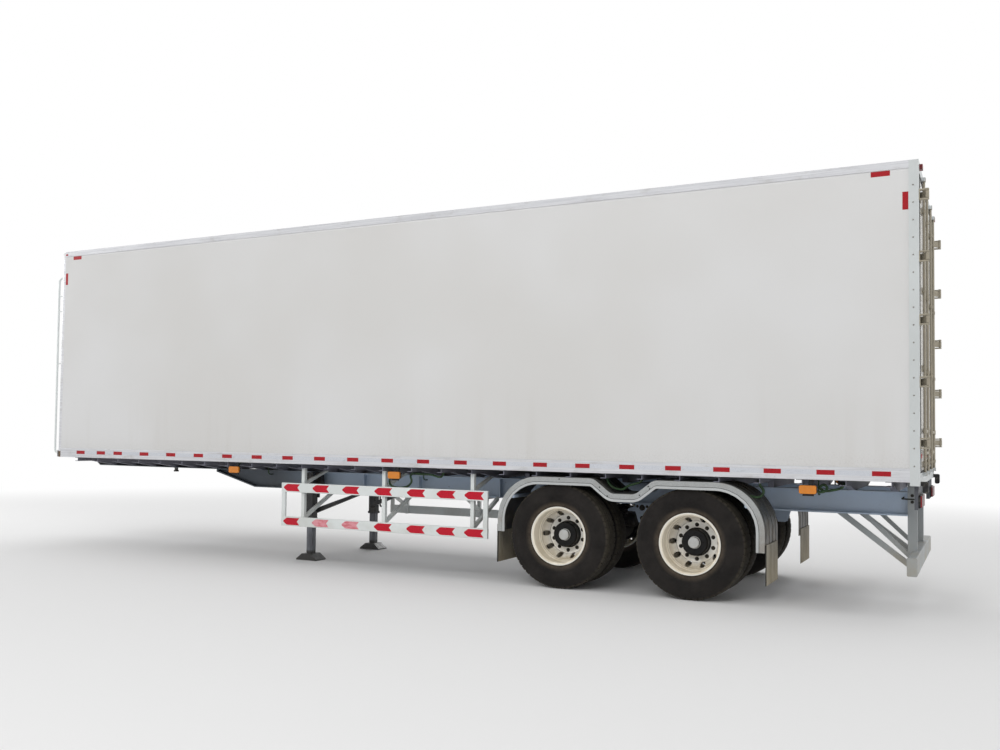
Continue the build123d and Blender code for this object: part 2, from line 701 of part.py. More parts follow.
def cross_outline(taper_end, inset):
    """Outline of a cross member seen along the trailer, drawn inside its flanges by an inset."""
    half = (
        (cross_end_y, DECK_HEIGHT - inset),
        (cross_end_y, cross_end_bottom + inset),
        (taper_end, cross_end_bottom + inset),
        (CROSS_TAPER_START_Y, BEAM_TOP + inset),
    )
    return [*half, *((-y, z) for y, z in reversed(half))]


# Cross members: deep over the beams, tapered outwards, shallow at once over the wheels
wheel_zone = (fender_rear_x - CROSS_WIDTH, fender_front_x + CROSS_WIDTH)
with BuildPart() as cross_members:
    for member in range(first_member, last_member + 1):
        x = member_x(member)
        over_wheels = wheel_zone[0] < x < wheel_zone[1]
        taper_end = CROSS_WHEEL_TAPER_END_Y if over_wheels else CROSS_TAPER_END_Y
        prism("x", cross_outline(taper_end, 0), around(x, CROSS_WIDTH))
        web_x = x - CROSS_WIDTH / 2 + CROSS_WEB_THICKNESS
        pocket = cross_outline(taper_end, CROSS_FLANGE_THICKNESS)
        prism("x", pocket, (web_x, web_x + CROSS_WIDTH), Mode.SUBTRACT)
cross_members.part.label = "cross_members"
export_step(cross_members.part, "parts/cross_members.step")

# Kingpin plate under the front cross members, its front edge turned up, with the kingpin below it
lip_run, lip_rise = COUPLER_LIP
lip_root_x = front_x - COUPLER_FRONT_INSET
lip_angle = math.atan2(lip_rise, lip_run)
lip_depth = COUPLER_THICKNESS / math.cos(lip_angle)
coupler_outline = (
    (nose_x, coupler_bottom),
    (lip_root_x, coupler_bottom),
    (lip_root_x + lip_run, coupler_bottom + lip_rise),
    (lip_root_x + lip_run, coupler_bottom + lip_rise + lip_depth),
    (lip_root_x - COUPLER_THICKNESS * math.tan(lip_angle / 2), BEAM_TOP),
    (nose_x, BEAM_TOP),
)
with BuildPart() as coupler_plate:
    prism("y", coupler_outline, (-COUPLER_HALF_WIDTH, COUPLER_HALF_WIDTH))
    hole_z = (coupler_bottom, BEAM_TOP)
    cylinder("z", (kingpin_x, 0), KINGPIN_SPIGOT_RADIUS + SEAT, hole_z, Mode.SUBTRACT)
coupler_plate.part.label = "coupler_plate"
export_step(coupler_plate.part, "parts/coupler_plate.step")

with BuildPart() as kingpin:
    cylinder("z", (kingpin_x, 0), KINGPIN_FLANGE_RADIUS, (BEAM_TOP, BEAM_TOP + KINGPIN_FLANGE_THICKNESS))
    cylinder("z", (kingpin_x, 0), KINGPIN_SPIGOT_RADIUS, (coupler_bottom, BEAM_TOP))
    level = coupler_bottom
    for radius, length in KINGPIN_PROFILE:
        cylinder("z", (kingpin_x, 0), radius, (level - length, level))
        level -= length
kingpin.part.label = "kingpin"
export_step(kingpin.part, "parts/kingpin.step")

# Wheels: tyres, one pair of discs and rims, and the hub with its drum
tyre_half = TYRE_WIDTH / 2
bead_bulge, bead_rise = TYRE_BEAD_BULGE
shoulder_low, shoulder_mid, shoulder_top = [
    (tyre_half - inward, WHEEL_RADIUS - drop) for inward, drop in TYRE_SHOULDER
]
rim_inner = BEAD_RADIUS - RIM_THICKNESS
well_radius = BEAD_RADIUS - RIM_WELL_DEPTH
well_front = RIM_WELL_HALF - RIM_WELL_CENTRE
well_rear = -RIM_WELL_HALF - RIM_WELL_CENTRE
rim_profile = (
    # distance towards the open face of the wheel, radius
    (RIM_HALF_WIDTH, RIM_FLANGE_RADIUS),
    (RIM_HALF_WIDTH - RIM_LIP, RIM_FLANGE_RADIUS),
    (RIM_BEAD_HALF + 2, BEAD_RADIUS),
    (well_front, BEAD_RADIUS),
    (well_front - RIM_WELL_SLOPE, well_radius + RIM_THICKNESS),
    (well_rear + RIM_WELL_SLOPE, well_radius + RIM_THICKNESS),
    (well_rear, BEAD_RADIUS),
    (-RIM_BEAD_HALF - 2, BEAD_RADIUS),
    (RIM_LIP - RIM_HALF_WIDTH, RIM_FLANGE_RADIUS),
    (-RIM_HALF_WIDTH, RIM_FLANGE_RADIUS),
    (-RIM_HALF_WIDTH, RIM_FLANGE_RADIUS - RIM_THICKNESS),
    (-RIM_BEAD_HALF - 2, rim_inner),
    (well_rear, rim_inner),
    (well_rear + RIM_WELL_SLOPE, well_radius),
    (well_front - RIM_WELL_SLOPE, well_radius),
    (well_front, rim_inner),
    (RIM_BEAD_HALF + 2, rim_inner),
    (RIM_HALF_WIDTH, RIM_FLANGE_RADIUS - RIM_THICKNESS),
)
disc_inset = mount_y - TRACK_WHEEL_Y
disc_weld_radius = well_radius + 2
disc_profile = (
    # distance towards the open face of the wheel, radius
    (disc_inset, DISC_BORE_RADIUS),
    (disc_inset + DISC_THICKNESS, DISC_BORE_RADIUS),
    (disc_inset + DISC_THICKNESS, DISC_FLAT_RADIUS),
    (10 - RIM_WELL_CENTRE, disc_weld_radius),
    (10 - RIM_WELL_CENTRE - DISC_WELD, disc_weld_radius),
    (disc_inset, DISC_FLAT_RADIUS + DISC_THICKNESS / 2),
)
flange_y = mount_y - DISC_THICKNESS
flange_back_y = flange_y - HUB_FLANGE_THICKNESS
drum_back_y = flange_back_y - DRUM_SHOULDER
drum_floor_y = drum_back_y + 5
bearing_radius = SPINDLE_RADIUS + RUNNING_FIT
cap_end_y = HUB_END_Y + HUB_CAP_LENGTH
hub_profile = (
    # distance from the trailer's middle, radius
    (DRUM_INNER_Y, DRUM_RADIUS),
    (drum_back_y, DRUM_RADIUS),
    (flange_back_y, HUB_FLANGE_RADIUS),
    (flange_y, HUB_FLANGE_RADIUS),
    (flange_y, HUB_RADIUS),
    (HUB_END_Y - HUB_BEVEL, HUB_RADIUS),
    (HUB_END_Y, HUB_RADIUS - HUB_BEVEL),
    (HUB_END_Y, HUB_CAP_RADIUS),
    (cap_end_y - HUB_CAP_BEVEL, HUB_CAP_RADIUS),
    (cap_end_y, HUB_CAP_RADIUS - HUB_CAP_BEVEL),
    (cap_end_y, 0),
    (SPINDLE_END_Y + SPINDLE_END_GAP, 0),
    (SPINDLE_END_Y + SPINDLE_END_GAP, bearing_radius),
    (DRUM_INNER_Y + BEARING_INSET, bearing_radius),
    (DRUM_INNER_Y + BEARING_INSET, SPINDLE_RADIUS + BEARING_WALL),
    (drum_floor_y, SPINDLE_RADIUS + BEARING_WALL),
    (drum_floor_y, DRUM_RADIUS - DRUM_WALL),
    (DRUM_INNER_Y, DRUM_RADIUS - DRUM_WALL),
)
for axle_x, axle_name in AXLES:
    for side, side_name in SIDES:
        wheel_name = f"{axle_name}_{side_name}"
        section_plane = Plane(origin=(axle_x, 0, WHEEL_RADIUS), x_dir=(0, 1, 0), z_dir=(1, 0, 0))
        wheel_axis = Axis((axle_x, 0, WHEEL_RADIUS), (0, 1, 0))

        with BuildPart() as tyres:
            for centre in (TRACK_WHEEL_Y, inner_wheel_y):
                middle = side * centre
                bead = BEAD_RADIUS + SEAT
                with BuildSketch(section_plane):
                    with BuildLine():
                        Line((middle + RIM_BEAD_HALF, bead), (middle - RIM_BEAD_HALF, bead))
                        for face in (1, -1):
                            heel = (middle + face * RIM_BEAD_HALF, bead)
                            wall_foot = (middle + face * (RIM_BEAD_HALF + bead_bulge), bead + bead_rise)
                            widest = (middle + face * tyre_half, WHEEL_RADIUS - TYRE_WIDEST_DROP)
                            low = (middle + face * shoulder_low[0], shoulder_low[1])
                            mid = (middle + face * shoulder_mid[0], shoulder_mid[1])
                            top = (middle + face * shoulder_top[0], shoulder_top[1])
                            Line(heel, wall_foot)
                            ThreePointArc(wall_foot, widest, low)
                            ThreePointArc(low, mid, top)
                        ThreePointArc(
                            (middle + shoulder_top[0], shoulder_top[1]),
                            (middle, WHEEL_RADIUS),
                            (middle - shoulder_top[0], shoulder_top[1]),
                        )
                    make_face()
                revolve(axis=wheel_axis)
        tyres.part.label = f"{wheel_name}_tyres"
        export_step(tyres.part, f"parts/{wheel_name}_tyres.step")

        with BuildPart() as wheel:
            for centre, face in ((TRACK_WHEEL_Y, 1), (inner_wheel_y, -1)):
                for profile in (rim_profile, disc_profile):
                    with BuildSketch(section_plane):
                        with BuildLine():
                            Polyline(*[(side * (centre + face * run), radius) for run, radius in profile], close=True)
                        make_face()
                    revolve(axis=wheel_axis)
            hole_plane = Plane(origin=(axle_x, side * mount_y, WHEEL_RADIUS), x_dir=(1, 0, 0), z_dir=(0, side, 0))
            with BuildSketch(hole_plane):
                with PolarLocations(HAND_HOLE_CIRCLE, HAND_HOLE_COUNT):
                    Circle(HAND_HOLE_RADIUS)
            extrude(amount=DUAL_SPACING / 2 - RIM_WELL_CENTRE + 5, both=True, mode=Mode.SUBTRACT)
        wheel.part.label = f"{wheel_name}_wheels"
        export_step(wheel.part, f"parts/{wheel_name}_wheels.step")

        with BuildPart() as hub:
            with BuildSketch(section_plane):
                with BuildLine():
                    Polyline(*[(side * y, radius) for y, radius in hub_profile], close=True)
                make_face()
            revolve(axis=wheel_axis)
        hub.part.label = f"{wheel_name}_hub"
        export_step(hub.part, f"parts/{wheel_name}_hub.step")

# Axles with their spindles, brake back plates and spring seats, and the bolted clamps round the springs
spring_rise = SPRING_END_HEIGHT - SPRING_CENTRE_HEIGHT
spring_radius = (SPRING_HALF_LENGTH ** 2 + spring_rise ** 2) / (2 * spring_rise)
spring_bottom = SPRING_CENTRE_HEIGHT - LEAF_COUNT * LEAF_THICKNESS
clamp_length, clamp_width, clamp_thickness = CLAMP_PLATE
clamp_top = SPRING_CENTRE_HEIGHT + (clamp_length / 2) ** 2 / (2 * spring_radius) + SEAT
clamp_foot = WHEEL_RADIUS - AXLE_TUBE_RADIUS - SEAT - clamp_thickness
with BuildPart() as axles:
    for axle_x, axle_name in AXLES:
        cylinder("y", (axle_x, WHEEL_RADIUS), AXLE_TUBE_RADIUS, (-SPINDLE_START_Y, SPINDLE_START_Y))
        cylinder("y", (axle_x, WHEEL_RADIUS), SPINDLE_RADIUS, (-SPINDLE_END_Y, SPINDLE_END_Y))
        for side, side_name in SIDES:
            cylinder("y", (axle_x, WHEEL_RADIUS), BACKPLATE_RADIUS, side_span(side, *BACKPLATE_SPAN))
            seat_y = around(side * SPRING_Y, SPRING_WIDTH)
            block(around(axle_x, SPRING_SEAT_LENGTH), seat_y, (WHEEL_RADIUS, spring_bottom))
            for level in (clamp_top, clamp_foot):
                plate_z = (level, level + clamp_thickness)
                block(around(axle_x, clamp_length), around(side * SPRING_Y, clamp_width), plate_z)
            bolt_z = (clamp_foot, clamp_top + clamp_thickness)
            for along_x in (-1, 1):
                for across_y in (-1, 1):
                    bolt_x = axle_x + along_x * CLAMP_BOLT_PLACE[0]
                    bolt_y = side * SPRING_Y + across_y * CLAMP_BOLT_PLACE[1]
                    cylinder("z", (bolt_x, bolt_y), CLAMP_BOLT_RADIUS, bolt_z)
axles.part.label = "axles"
export_step(axles.part, "parts/axles.step")

# Leaf springs: the leaves are arcs about one centre, each shorter than the one above
with BuildPart() as leaf_springs:
    for axle_x, axle_name in AXLES:
        for side, side_name in SIDES:
            for leaf in range(LEAF_COUNT):
                half_angle = math.degrees(
                    math.atan2(SPRING_HALF_LENGTH - leaf * LEAF_STEP, spring_radius - spring_rise)
                )
                inner = spring_radius + leaf * LEAF_THICKNESS
                with BuildSketch(Plane.XZ.offset(-side * (SPRING_Y - SPRING_WIDTH / 2))):
                    with BuildLine():
                        centre = (axle_x, SPRING_CENTRE_HEIGHT + spring_radius)
                        top_arc = CenterArc(centre, inner, 270 - half_angle, 2 * half_angle)
                        low_arc = CenterArc(centre, inner + LEAF_THICKNESS, 270 - half_angle, 2 * half_angle)
                        Line(top_arc @ 0, low_arc @ 0)
                        Line(top_arc @ 1, low_arc @ 1)
                    make_face()
                extrude(amount=-side * SPRING_WIDTH)
leaf_springs.part.label = "leaf_springs"
export_step(leaf_springs.part, "parts/leaf_springs.step")

# Hangers under the beams, the equalisers between the springs, and the rods that locate the axles
centre_hanger_x = (front_axle_x + rear_axle_x) / 2
front_hanger_x = front_axle_x + SPRING_HALF_LENGTH
rear_hanger_x = rear_axle_x - SPRING_HALF_LENGTH
pad_bottom = SPRING_END_HEIGHT + SEAT
pivot_height, pivot_radius = EQUALISER_PIVOT
equaliser_reach = AXLE_SPREAD / 2 - SPRING_HALF_LENGTH + SPRING_LAP
equaliser_outline = (
    (centre_hanger_x - equaliser_reach, pad_bottom),
    (centre_hanger_x + equaliser_reach, pad_bottom),
    (centre_hanger_x + equaliser_reach, pad_bottom + EQUALISER_TIP),
    (centre_hanger_x + EQUALISER_HUB_LENGTH / 2, pivot_height + pivot_radius),
    (centre_hanger_x - EQUALISER_HUB_LENGTH / 2, pivot_height + pivot_radius),
    (centre_hanger_x - equaliser_reach, pad_bottom + EQUALISER_TIP),
)
axle_end_height, hanger_end_height = RADIUS_ROD_HEIGHTS
hanger_inner_y = SPRING_Y - HANGER_WIDTH / 2
hanger_outer_y = SPRING_Y + HANGER_WIDTH / 2
with BuildPart() as suspension_hangers:
    for side, side_name in SIDES:
        hanger_y = side_span(side, hanger_inner_y, hanger_outer_y)
        for x in (front_hanger_x, centre_hanger_x, rear_hanger_x):
            block(around(x, HANGER_LENGTH), hanger_y, (BEAM_BOTTOM - HANGER_PLATE, BEAM_BOTTOM))
            plate_outline = (
                (x - HANGER_FOOT_LENGTH / 2, HANGER_BOTTOM),
                (x + HANGER_FOOT_LENGTH / 2, HANGER_BOTTOM),
                (x + HANGER_LENGTH / 2, SPRING_END_HEIGHT),
                (x + HANGER_LENGTH / 2, BEAM_BOTTOM),
                (x - HANGER_LENGTH / 2, BEAM_BOTTOM),
                (x - HANGER_LENGTH / 2, SPRING_END_HEIGHT),
            )
            prism("y", plate_outline, side_span(side, hanger_inner_y, hanger_inner_y + HANGER_PLATE))
            prism("y", plate_outline, side_span(side, hanger_outer_y - HANGER_PLATE, hanger_outer_y))
        for x, lean in ((front_hanger_x, -1), (rear_hanger_x, 1)):
            block((x, x + lean * SPRING_LAP), hanger_y, (pad_bottom, BEAM_BOTTOM))
        prism("y", equaliser_outline, around(side * SPRING_Y, EQUALISER_WIDTH))
        cylinder("y", (centre_hanger_x, pivot_height), pivot_radius, hanger_y)
        for axle_x, x in ((front_axle_x, front_hanger_x), (rear_axle_x, centre_hanger_x)):
            seat_x = axle_x + SPRING_SEAT_LENGTH / 2
            rod_outline = (
                (seat_x, axle_end_height - RADIUS_ROD_DEPTH / 2),
                (x, hanger_end_height - RADIUS_ROD_DEPTH / 2),
                (x, hanger_end_height + RADIUS_ROD_DEPTH / 2),
                (seat_x, axle_end_height + RADIUS_ROD_DEPTH / 2),
            )
            rod_y = around(side * SPRING_Y, RADIUS_ROD_WIDTH)
            prism("y", rod_outline, rod_y)
            cylinder("y", (x, hanger_end_height), RADIUS_ROD_EYE, rod_y)
            cylinder("y", (x, hanger_end_height), RADIUS_ROD_PIN, hanger_y)
suspension_hangers.part.label = "suspension_hangers"
export_step(suspension_hangers.part, "parts/suspension_hangers.step")

# Brake chambers behind each axle, with their pushrods, levers and camshafts
chamber_height = WHEEL_RADIUS + BRAKE_CHAMBER_RAISE
camshaft_height = WHEEL_RADIUS - CAMSHAFT_DROP
band_height, band_width = BRAKE_BAND
with BuildPart() as brake_chambers:
    for axle_x, axle_name in AXLES:
        for side, side_name in SIDES:
            chamber_x = axle_x - BRAKE_CHAMBER_BACK
            chamber_y = side * BRAKE_CHAMBER_Y
            chamber_span_x = (chamber_x - BRAKE_CHAMBER_LENGTH, chamber_x)
            cylinder("x", (chamber_y, chamber_height), BRAKE_CHAMBER_RADIUS, chamber_span_x)
            band_x = around(chamber_x - BRAKE_CHAMBER_LENGTH / 2, band_width)
            cylinder("x", (chamber_y, chamber_height), BRAKE_CHAMBER_RADIUS + band_height, band_x)
            bracket_y = around(chamber_y, BRAKE_BRACKET_WIDTH)
            bracket_bottom = WHEEL_RADIUS - BRAKE_BRACKET_WIDTH / 2
            block((chamber_x, chamber_x + BRAKE_BRACKET_PLATE), bracket_y, (bracket_bottom, chamber_height))
            bracket_end_x = axle_x - AXLE_TUBE_RADIUS - SEAT
            block((chamber_x, bracket_end_x), bracket_y, around(WHEEL_RADIUS, BRAKE_BRACKET_WIDTH))
            lever_x = axle_x + CAMSHAFT_AHEAD
            cylinder("x", (chamber_y, chamber_height), PUSHROD_RADIUS, (chamber_x, lever_x))
            camshaft_y = side_span(side, CAMSHAFT_INNER_Y, BACKPLATE_SPAN[0])
            cylinder("y", (lever_x, camshaft_height), CAMSHAFT_RADIUS, camshaft_y)
            lever_y = around(chamber_y, LEVER_THICKNESS)
            lever_length = chamber_height - camshaft_height + LEVER_WIDTH
            lever_middle = (lever_x, (chamber_height + camshaft_height) / 2)
            rounded_bar("y", lever_middle, (LEVER_WIDTH, lever_length), LEVER_WIDTH / 2 - ROUND_END_FLAT, lever_y)
    chamber_ends = brake_chambers.edges().filter_by(GeomType.CIRCLE).filter_by(
        lambda edge: abs(edge.radius - BRAKE_CHAMBER_RADIUS) < 0.01
    )
    rear_ends = [
        edge for edge in chamber_ends
        if min(abs(edge.arc_center.X - x + BRAKE_CHAMBER_BACK + BRAKE_CHAMBER_LENGTH) for x, name in AXLES) < 1
    ]
    fillet(rear_ends, BRAKE_CHAMBER_EDGE)
brake_chambers.part.label = "brake_chambers"
export_step(brake_chambers.part, "parts/brake_chambers.step")

# Air tank across the chassis, hung by two straps from a cross member
tank_x = member_x(TANK_MEMBER)
strap_thickness, strap_width = TANK_STRAP
with BuildPart() as air_tank:
    cylinder("y", (tank_x, TANK_HEIGHT), TANK_RADIUS, (-TANK_LENGTH / 2, TANK_LENGTH / 2))
    fillet(air_tank.edges().filter_by(GeomType.CIRCLE), TANK_EDGE)
    for strap_y in (-TANK_STRAP_Y, TANK_STRAP_Y):
        strap_span_y = around(strap_y, strap_width)
        cylinder("y", (tank_x, TANK_HEIGHT), TANK_RADIUS + strap_thickness, strap_span_y)
        block(around(tank_x, strap_width), strap_span_y, (TANK_HEIGHT + TANK_RADIUS - 10, BEAM_TOP))
air_tank.part.label = "air_tank"
export_step(air_tank.part, "parts/air_tank.step")

# Fenders: one bent sheet over both wheels, with ribs along it and a skirt on its outer edge
fender_top = cross_end_bottom - FENDER_TOP_GAP
dip_top = FENDER_DIP_TOP / 2
dip_bottom = FENDER_DIP_BOTTOM / 2
fender_points = (
    (fender_front_x, FENDER_FRONT_END),
    (fender_front_x, fender_top),
    (bogie_x + dip_top, fender_top),
    (bogie_x + dip_bottom, FENDER_DIP),
    (bogie_x - dip_bottom, FENDER_DIP),
    (bogie_x - dip_top, fender_top),
    (fender_rear_x, fender_top),
    (fender_rear_x, FENDER_REAR_END),
)
fender_radii = (
    FENDER_CORNER_RADIUS,
    FENDER_DIP_RADIUS,
    FENDER_DIP_RADIUS,
    FENDER_DIP_RADIUS,
    FENDER_DIP_RADIUS,
    FENDER_CORNER_RADIUS,
)
fender_layers = [
    # side of the line, thickness, inner y, outer y
    (Side.LEFT, FENDER_THICKNESS, FENDER_INNER_Y, fender_outer_y),
    (Side.LEFT, FENDER_SKIRT_DEPTH, fender_outer_y - FENDER_SKIRT_THICKNESS, fender_outer_y),
]
for rib_offset in FENDER_RIB_OFFSETS:
    rib_y = fender_outer_y - rib_offset
    fender_layers.append((Side.RIGHT, FENDER_RIB_HEIGHT, rib_y - FENDER_RIB_WIDTH, rib_y))
for side, side_name in SIDES:
    with BuildPart() as fender:
        for line_side, depth, inner, outer in fender_layers:
            with BuildSketch(Plane.XZ.offset(-side * inner)):
                with BuildLine():
                    FilletPolyline(*fender_points, radius=fender_radii)
                    offset(amount=depth, side=line_side)
                make_face()
            extrude(amount=-side * (outer - inner))
    fender.part.label = f"{side_name}_fender"
    export_step(fender.part, f"parts/{side_name}_fender.step")

# Tube arms that carry the fenders, from the beams' webs
arm_places = (
    (fender_front_x - FENDER_ARM_INSET, FENDER_ARM_HEIGHT),
    (bogie_x, FENDER_DIP - FENDER_THICKNESS - SEAT - FENDER_ARM_RADIUS),
    (fender_rear_x + FENDER_ARM_INSET, FENDER_ARM_HEIGHT),
)
with BuildPart() as fender_arms:
    for side, side_name in SIDES:
        arm_y = side_span(side, web_face_y, fender_outer_y - FENDER_SKIRT_THICKNESS - SEAT)
        for place in arm_places:
            cylinder("y", place, FENDER_ARM_RADIUS, arm_y)
fender_arms.part.label = "fender_arms"
export_step(fender_arms.part, "parts/fender_arms.step")

# Mud flaps on the ribs at the fenders' ends
with BuildPart() as mud_flaps:
    for side, side_name in SIDES:
        flap_outer_y = fender_outer_y - FLAP_SIDE_INSET
        flap_y = side_span(side, flap_outer_y - FLAP_WIDTH, flap_outer_y)
        front_flap_x = fender_front_x + FENDER_RIB_HEIGHT
        rear_flap_x = fender_rear_x - FENDER_RIB_HEIGHT
        front_flap_z = (FRONT_FLAP_BOTTOM, FENDER_FRONT_END + FLAP_LAP)
        rear_flap_z = (REAR_FLAP_BOTTOM, FENDER_REAR_END + FLAP_LAP)
        block((front_flap_x, front_flap_x + FLAP_THICKNESS), flap_y, front_flap_z)
        block((rear_flap_x - FLAP_THICKNESS, rear_flap_x), flap_y, rear_flap_z)
mud_flaps.part.label = "mud_flaps"
export_step(mud_flaps.part, "parts/mud_flaps.step")

# Side guards: two rails and end bars, posts up to the cross members, two struts behind each post
guard_outer_y = half_width - GUARD_SIDE_INSET
guard_inner_y = guard_outer_y - GUARD_THICKNESS
guard_middle_y = (guard_outer_y + guard_inner_y) / 2
guard_x = (fender_front_x + GUARD_FENDER_GAP, leg_x + GUARD_PAST_LEG)
guard_z = (GUARD_RAIL_BOTTOMS[0], GUARD_RAIL_BOTTOMS[1] + GUARD_RAIL_HEIGHT)
post_length, post_depth = GUARD_POST_SIZE
post_face_y = guard_inner_y - post_depth
taper_slope = (cross_end_bottom - BEAM_TOP) / (CROSS_TAPER_END_Y - CROSS_TAPER_START_Y)
low_foot, low_depth = GUARD_LOW_STRUT
high_foot, high_depth = GUARD_HIGH_STRUT
flange_top = BEAM_BOTTOM + BEAM_FLANGE_THICKNESS
for side, side_name in SIDES:
    low_strut = (
        (side * post_face_y, low_foot),
        (side * post_face_y, low_foot + low_depth),
        (side * flange_edge_y, flange_top),
        (side * flange_edge_y, flange_top - low_depth),
    )
    high_strut = [
        (side * post_face_y, high_foot),
        (side * post_face_y, high_foot + high_depth),
    ]
    for y in reversed(GUARD_HIGH_STRUT_Y):
        high_strut.append((side * y, BEAM_TOP + (y - CROSS_TAPER_START_Y) * taper_slope))
    with BuildPart() as side_guard:
        for bottom in GUARD_RAIL_BOTTOMS:
            rail_place = (side * guard_middle_y, bottom + GUARD_RAIL_HEIGHT / 2)
            rounded_bar("x", rail_place, (GUARD_THICKNESS, GUARD_RAIL_HEIGHT), GUARD_EDGE_RADIUS, guard_x)
        for x in (guard_x[0] + GUARD_END_WIDTH / 2, guard_x[1] - GUARD_END_WIDTH / 2):
            end_size = (GUARD_END_WIDTH, GUARD_THICKNESS)
            rounded_bar("z", (x, side * guard_middle_y), end_size, GUARD_EDGE_RADIUS, guard_z)
        for member in GUARD_POST_MEMBERS:
            x = member_x(member)
            post_y = side_span(side, post_face_y, guard_inner_y)
            block(around(x, post_length), post_y, (GUARD_RAIL_BOTTOMS[0], cross_end_bottom))
            prism("x", low_strut, around(x, GUARD_STRUT_WIDTH))
            prism("x", high_strut, around(x, GUARD_STRUT_WIDTH))
    side_guard.part.label = f"{side_name}_side_guard"
    export_step(side_guard.part, f"parts/{side_name}_side_guard.step")

# Landing legs: outer tube, inner tube, foot, gearbox, and the bracket that meets the beam's flanges
foot_outline = (
    (leg_x - FOOT_LENGTH / 2, 0),
    (leg_x + FOOT_LENGTH / 2, 0),
    (leg_x + FOOT_LENGTH / 2, FOOT_RIM),
    (leg_x + FOOT_TOP_LENGTH / 2, FOOT_HEIGHT),
    (leg_x - FOOT_TOP_LENGTH / 2, FOOT_HEIGHT),
    (leg_x - FOOT_LENGTH / 2, FOOT_RIM),
)
gearbox_length, gearbox_depth, gearbox_height = GEARBOX_SIZE
collar_size, collar_height = LEG_COLLAR
with BuildPart() as landing_legs:
    for side, side_name in SIDES:
        leg_place = (leg_x, side * LEG_Y)
        rounded_bar("z", leg_place, (LEG_OUTER, LEG_OUTER), LEG_EDGE_RADIUS, (LEG_OUTER_BOTTOM, LEG_TOP))
        collar_z = (LEG_OUTER_BOTTOM, LEG_OUTER_BOTTOM + collar_height)
        rounded_bar("z", leg_place, (collar_size, collar_size), LEG_EDGE_RADIUS, collar_z)
        inner_z = (FOOT_HEIGHT / 2, LEG_OUTER_BOTTOM)
        rounded_bar("z", leg_place, (LEG_INNER, LEG_INNER), LEG_EDGE_RADIUS, inner_z)
        prism("y", foot_outline, around(side * LEG_Y, FOOT_WIDTH))
        bracket_x = around(leg_x, LEG_BRACKET_LENGTH)
        block(bracket_x, side_span(side, flange_edge_y, leg_face_y), (BEAM_BOTTOM, LEG_TOP))
        gearbox_y = side_span(side, leg_face_y - gearbox_depth, leg_face_y)
        gearbox_z = around(LEG_SHAFT_HEIGHT, gearbox_height)
        block(around(leg_x, gearbox_length), gearbox_y, (gearbox_z[0], BEAM_BOTTOM))
landing_legs.part.label = "landing_legs"
export_step(landing_legs.part, "parts/landing_legs.step")

# Leg braces up to the beams, the cross shaft between the gearboxes, and the crank on the right
brace_high_x = leg_x - BRACE_RUN
brace_outline = (
    (leg_x, BRACE_LOW_HEIGHT),
    (leg_x, BRACE_LOW_HEIGHT + BRACE_DEPTH),
    (brace_high_x + BRACE_DEPTH, BEAM_BOTTOM),
    (brace_high_x, BEAM_BOTTOM),
    (brace_high_x, BEAM_BOTTOM - BRACE_FOOT_THICKNESS),
)
crank_y = -(LEG_Y + LEG_OUTER / 2)
crank_points = (
    (leg_x, crank_y, LEG_SHAFT_HEIGHT),
    (leg_x, crank_y - CRANK_REACH, LEG_SHAFT_HEIGHT),
    (leg_x, crank_y - CRANK_REACH, LEG_SHAFT_HEIGHT - CRANK_DROP),
    (leg_x, crank_y - CRANK_REACH - CRANK_GRIP, LEG_SHAFT_HEIGHT - CRANK_DROP),
)
with BuildPart() as landing_gear_braces:
    for side, side_name in SIDES:
        prism("y", brace_outline, side_span(side, leg_face_y - BRACE_WIDTH, leg_face_y))
        foot_x = (brace_high_x, brace_high_x + BRACE_FOOT_LENGTH)
        block(foot_x, side_span(side, BEAM_Y, leg_face_y), (BEAM_BOTTOM - BRACE_FOOT_THICKNESS, BEAM_BOTTOM))
    shaft_end_y = leg_face_y - gearbox_depth
    cylinder("y", (leg_x, LEG_SHAFT_HEIGHT), LEG_SHAFT_RADIUS, (-shaft_end_y, shaft_end_y))
    tube_path(crank_points, CRANK_BEND, CRANK_RADIUS)
landing_gear_braces.part.label = "landing_gear_braces"
export_step(landing_gear_braces.part, "parts/landing_gear_braces.step")

# Rear underride guard: posts at the beams' ends, a crossbar, and two raking braces on each side
bar_depth, bar_height = UNDERRIDE_BAR_SIZE
bar_place = (rear_x + UNDERRIDE_BAR_INSET + bar_depth / 2, UNDERRIDE_BAR_BOTTOM + bar_height / 2)
bar_half_width = half_width - UNDERRIDE_SIDE_INSET
post_depth, post_width = UNDERRIDE_POST_SIZE
with BuildPart() as rear_underride_guard:
    rounded_bar("y", bar_place, UNDERRIDE_BAR_SIZE, UNDERRIDE_BAR_EDGE, (-bar_half_width, bar_half_width))
    for side, side_name in SIDES:
        post_y = around(side * BEAM_Y, post_width)
        block((beam_rear_x - post_depth, beam_rear_x), post_y, (UNDERRIDE_BAR_BOTTOM, sill_bottom))
        block((frame_x, beam_rear_x), post_y, (UNDERRIDE_BAR_BOTTOM, DECK_HEIGHT))
        for run, low_height, thickness in UNDERRIDE_BRACES:
            slope = math.atan2(BEAM_BOTTOM - low_height, run)
            half_cut = thickness / 2 / math.cos(slope)
            half_foot = thickness / 2 / math.sin(slope)
            brace_points = (
                (beam_rear_x, low_height - half_cut),
                (beam_rear_x, low_height + half_cut),
                (beam_rear_x + run - half_foot, BEAM_BOTTOM),
                (beam_rear_x + run + half_foot, BEAM_BOTTOM),
            )
            prism("y", brace_points, around(side * BEAM_Y, thickness))
rear_underride_guard.part.label = "rear_underride_guard"
export_step(rear_underride_guard.part, "parts/rear_underride_guard.step")

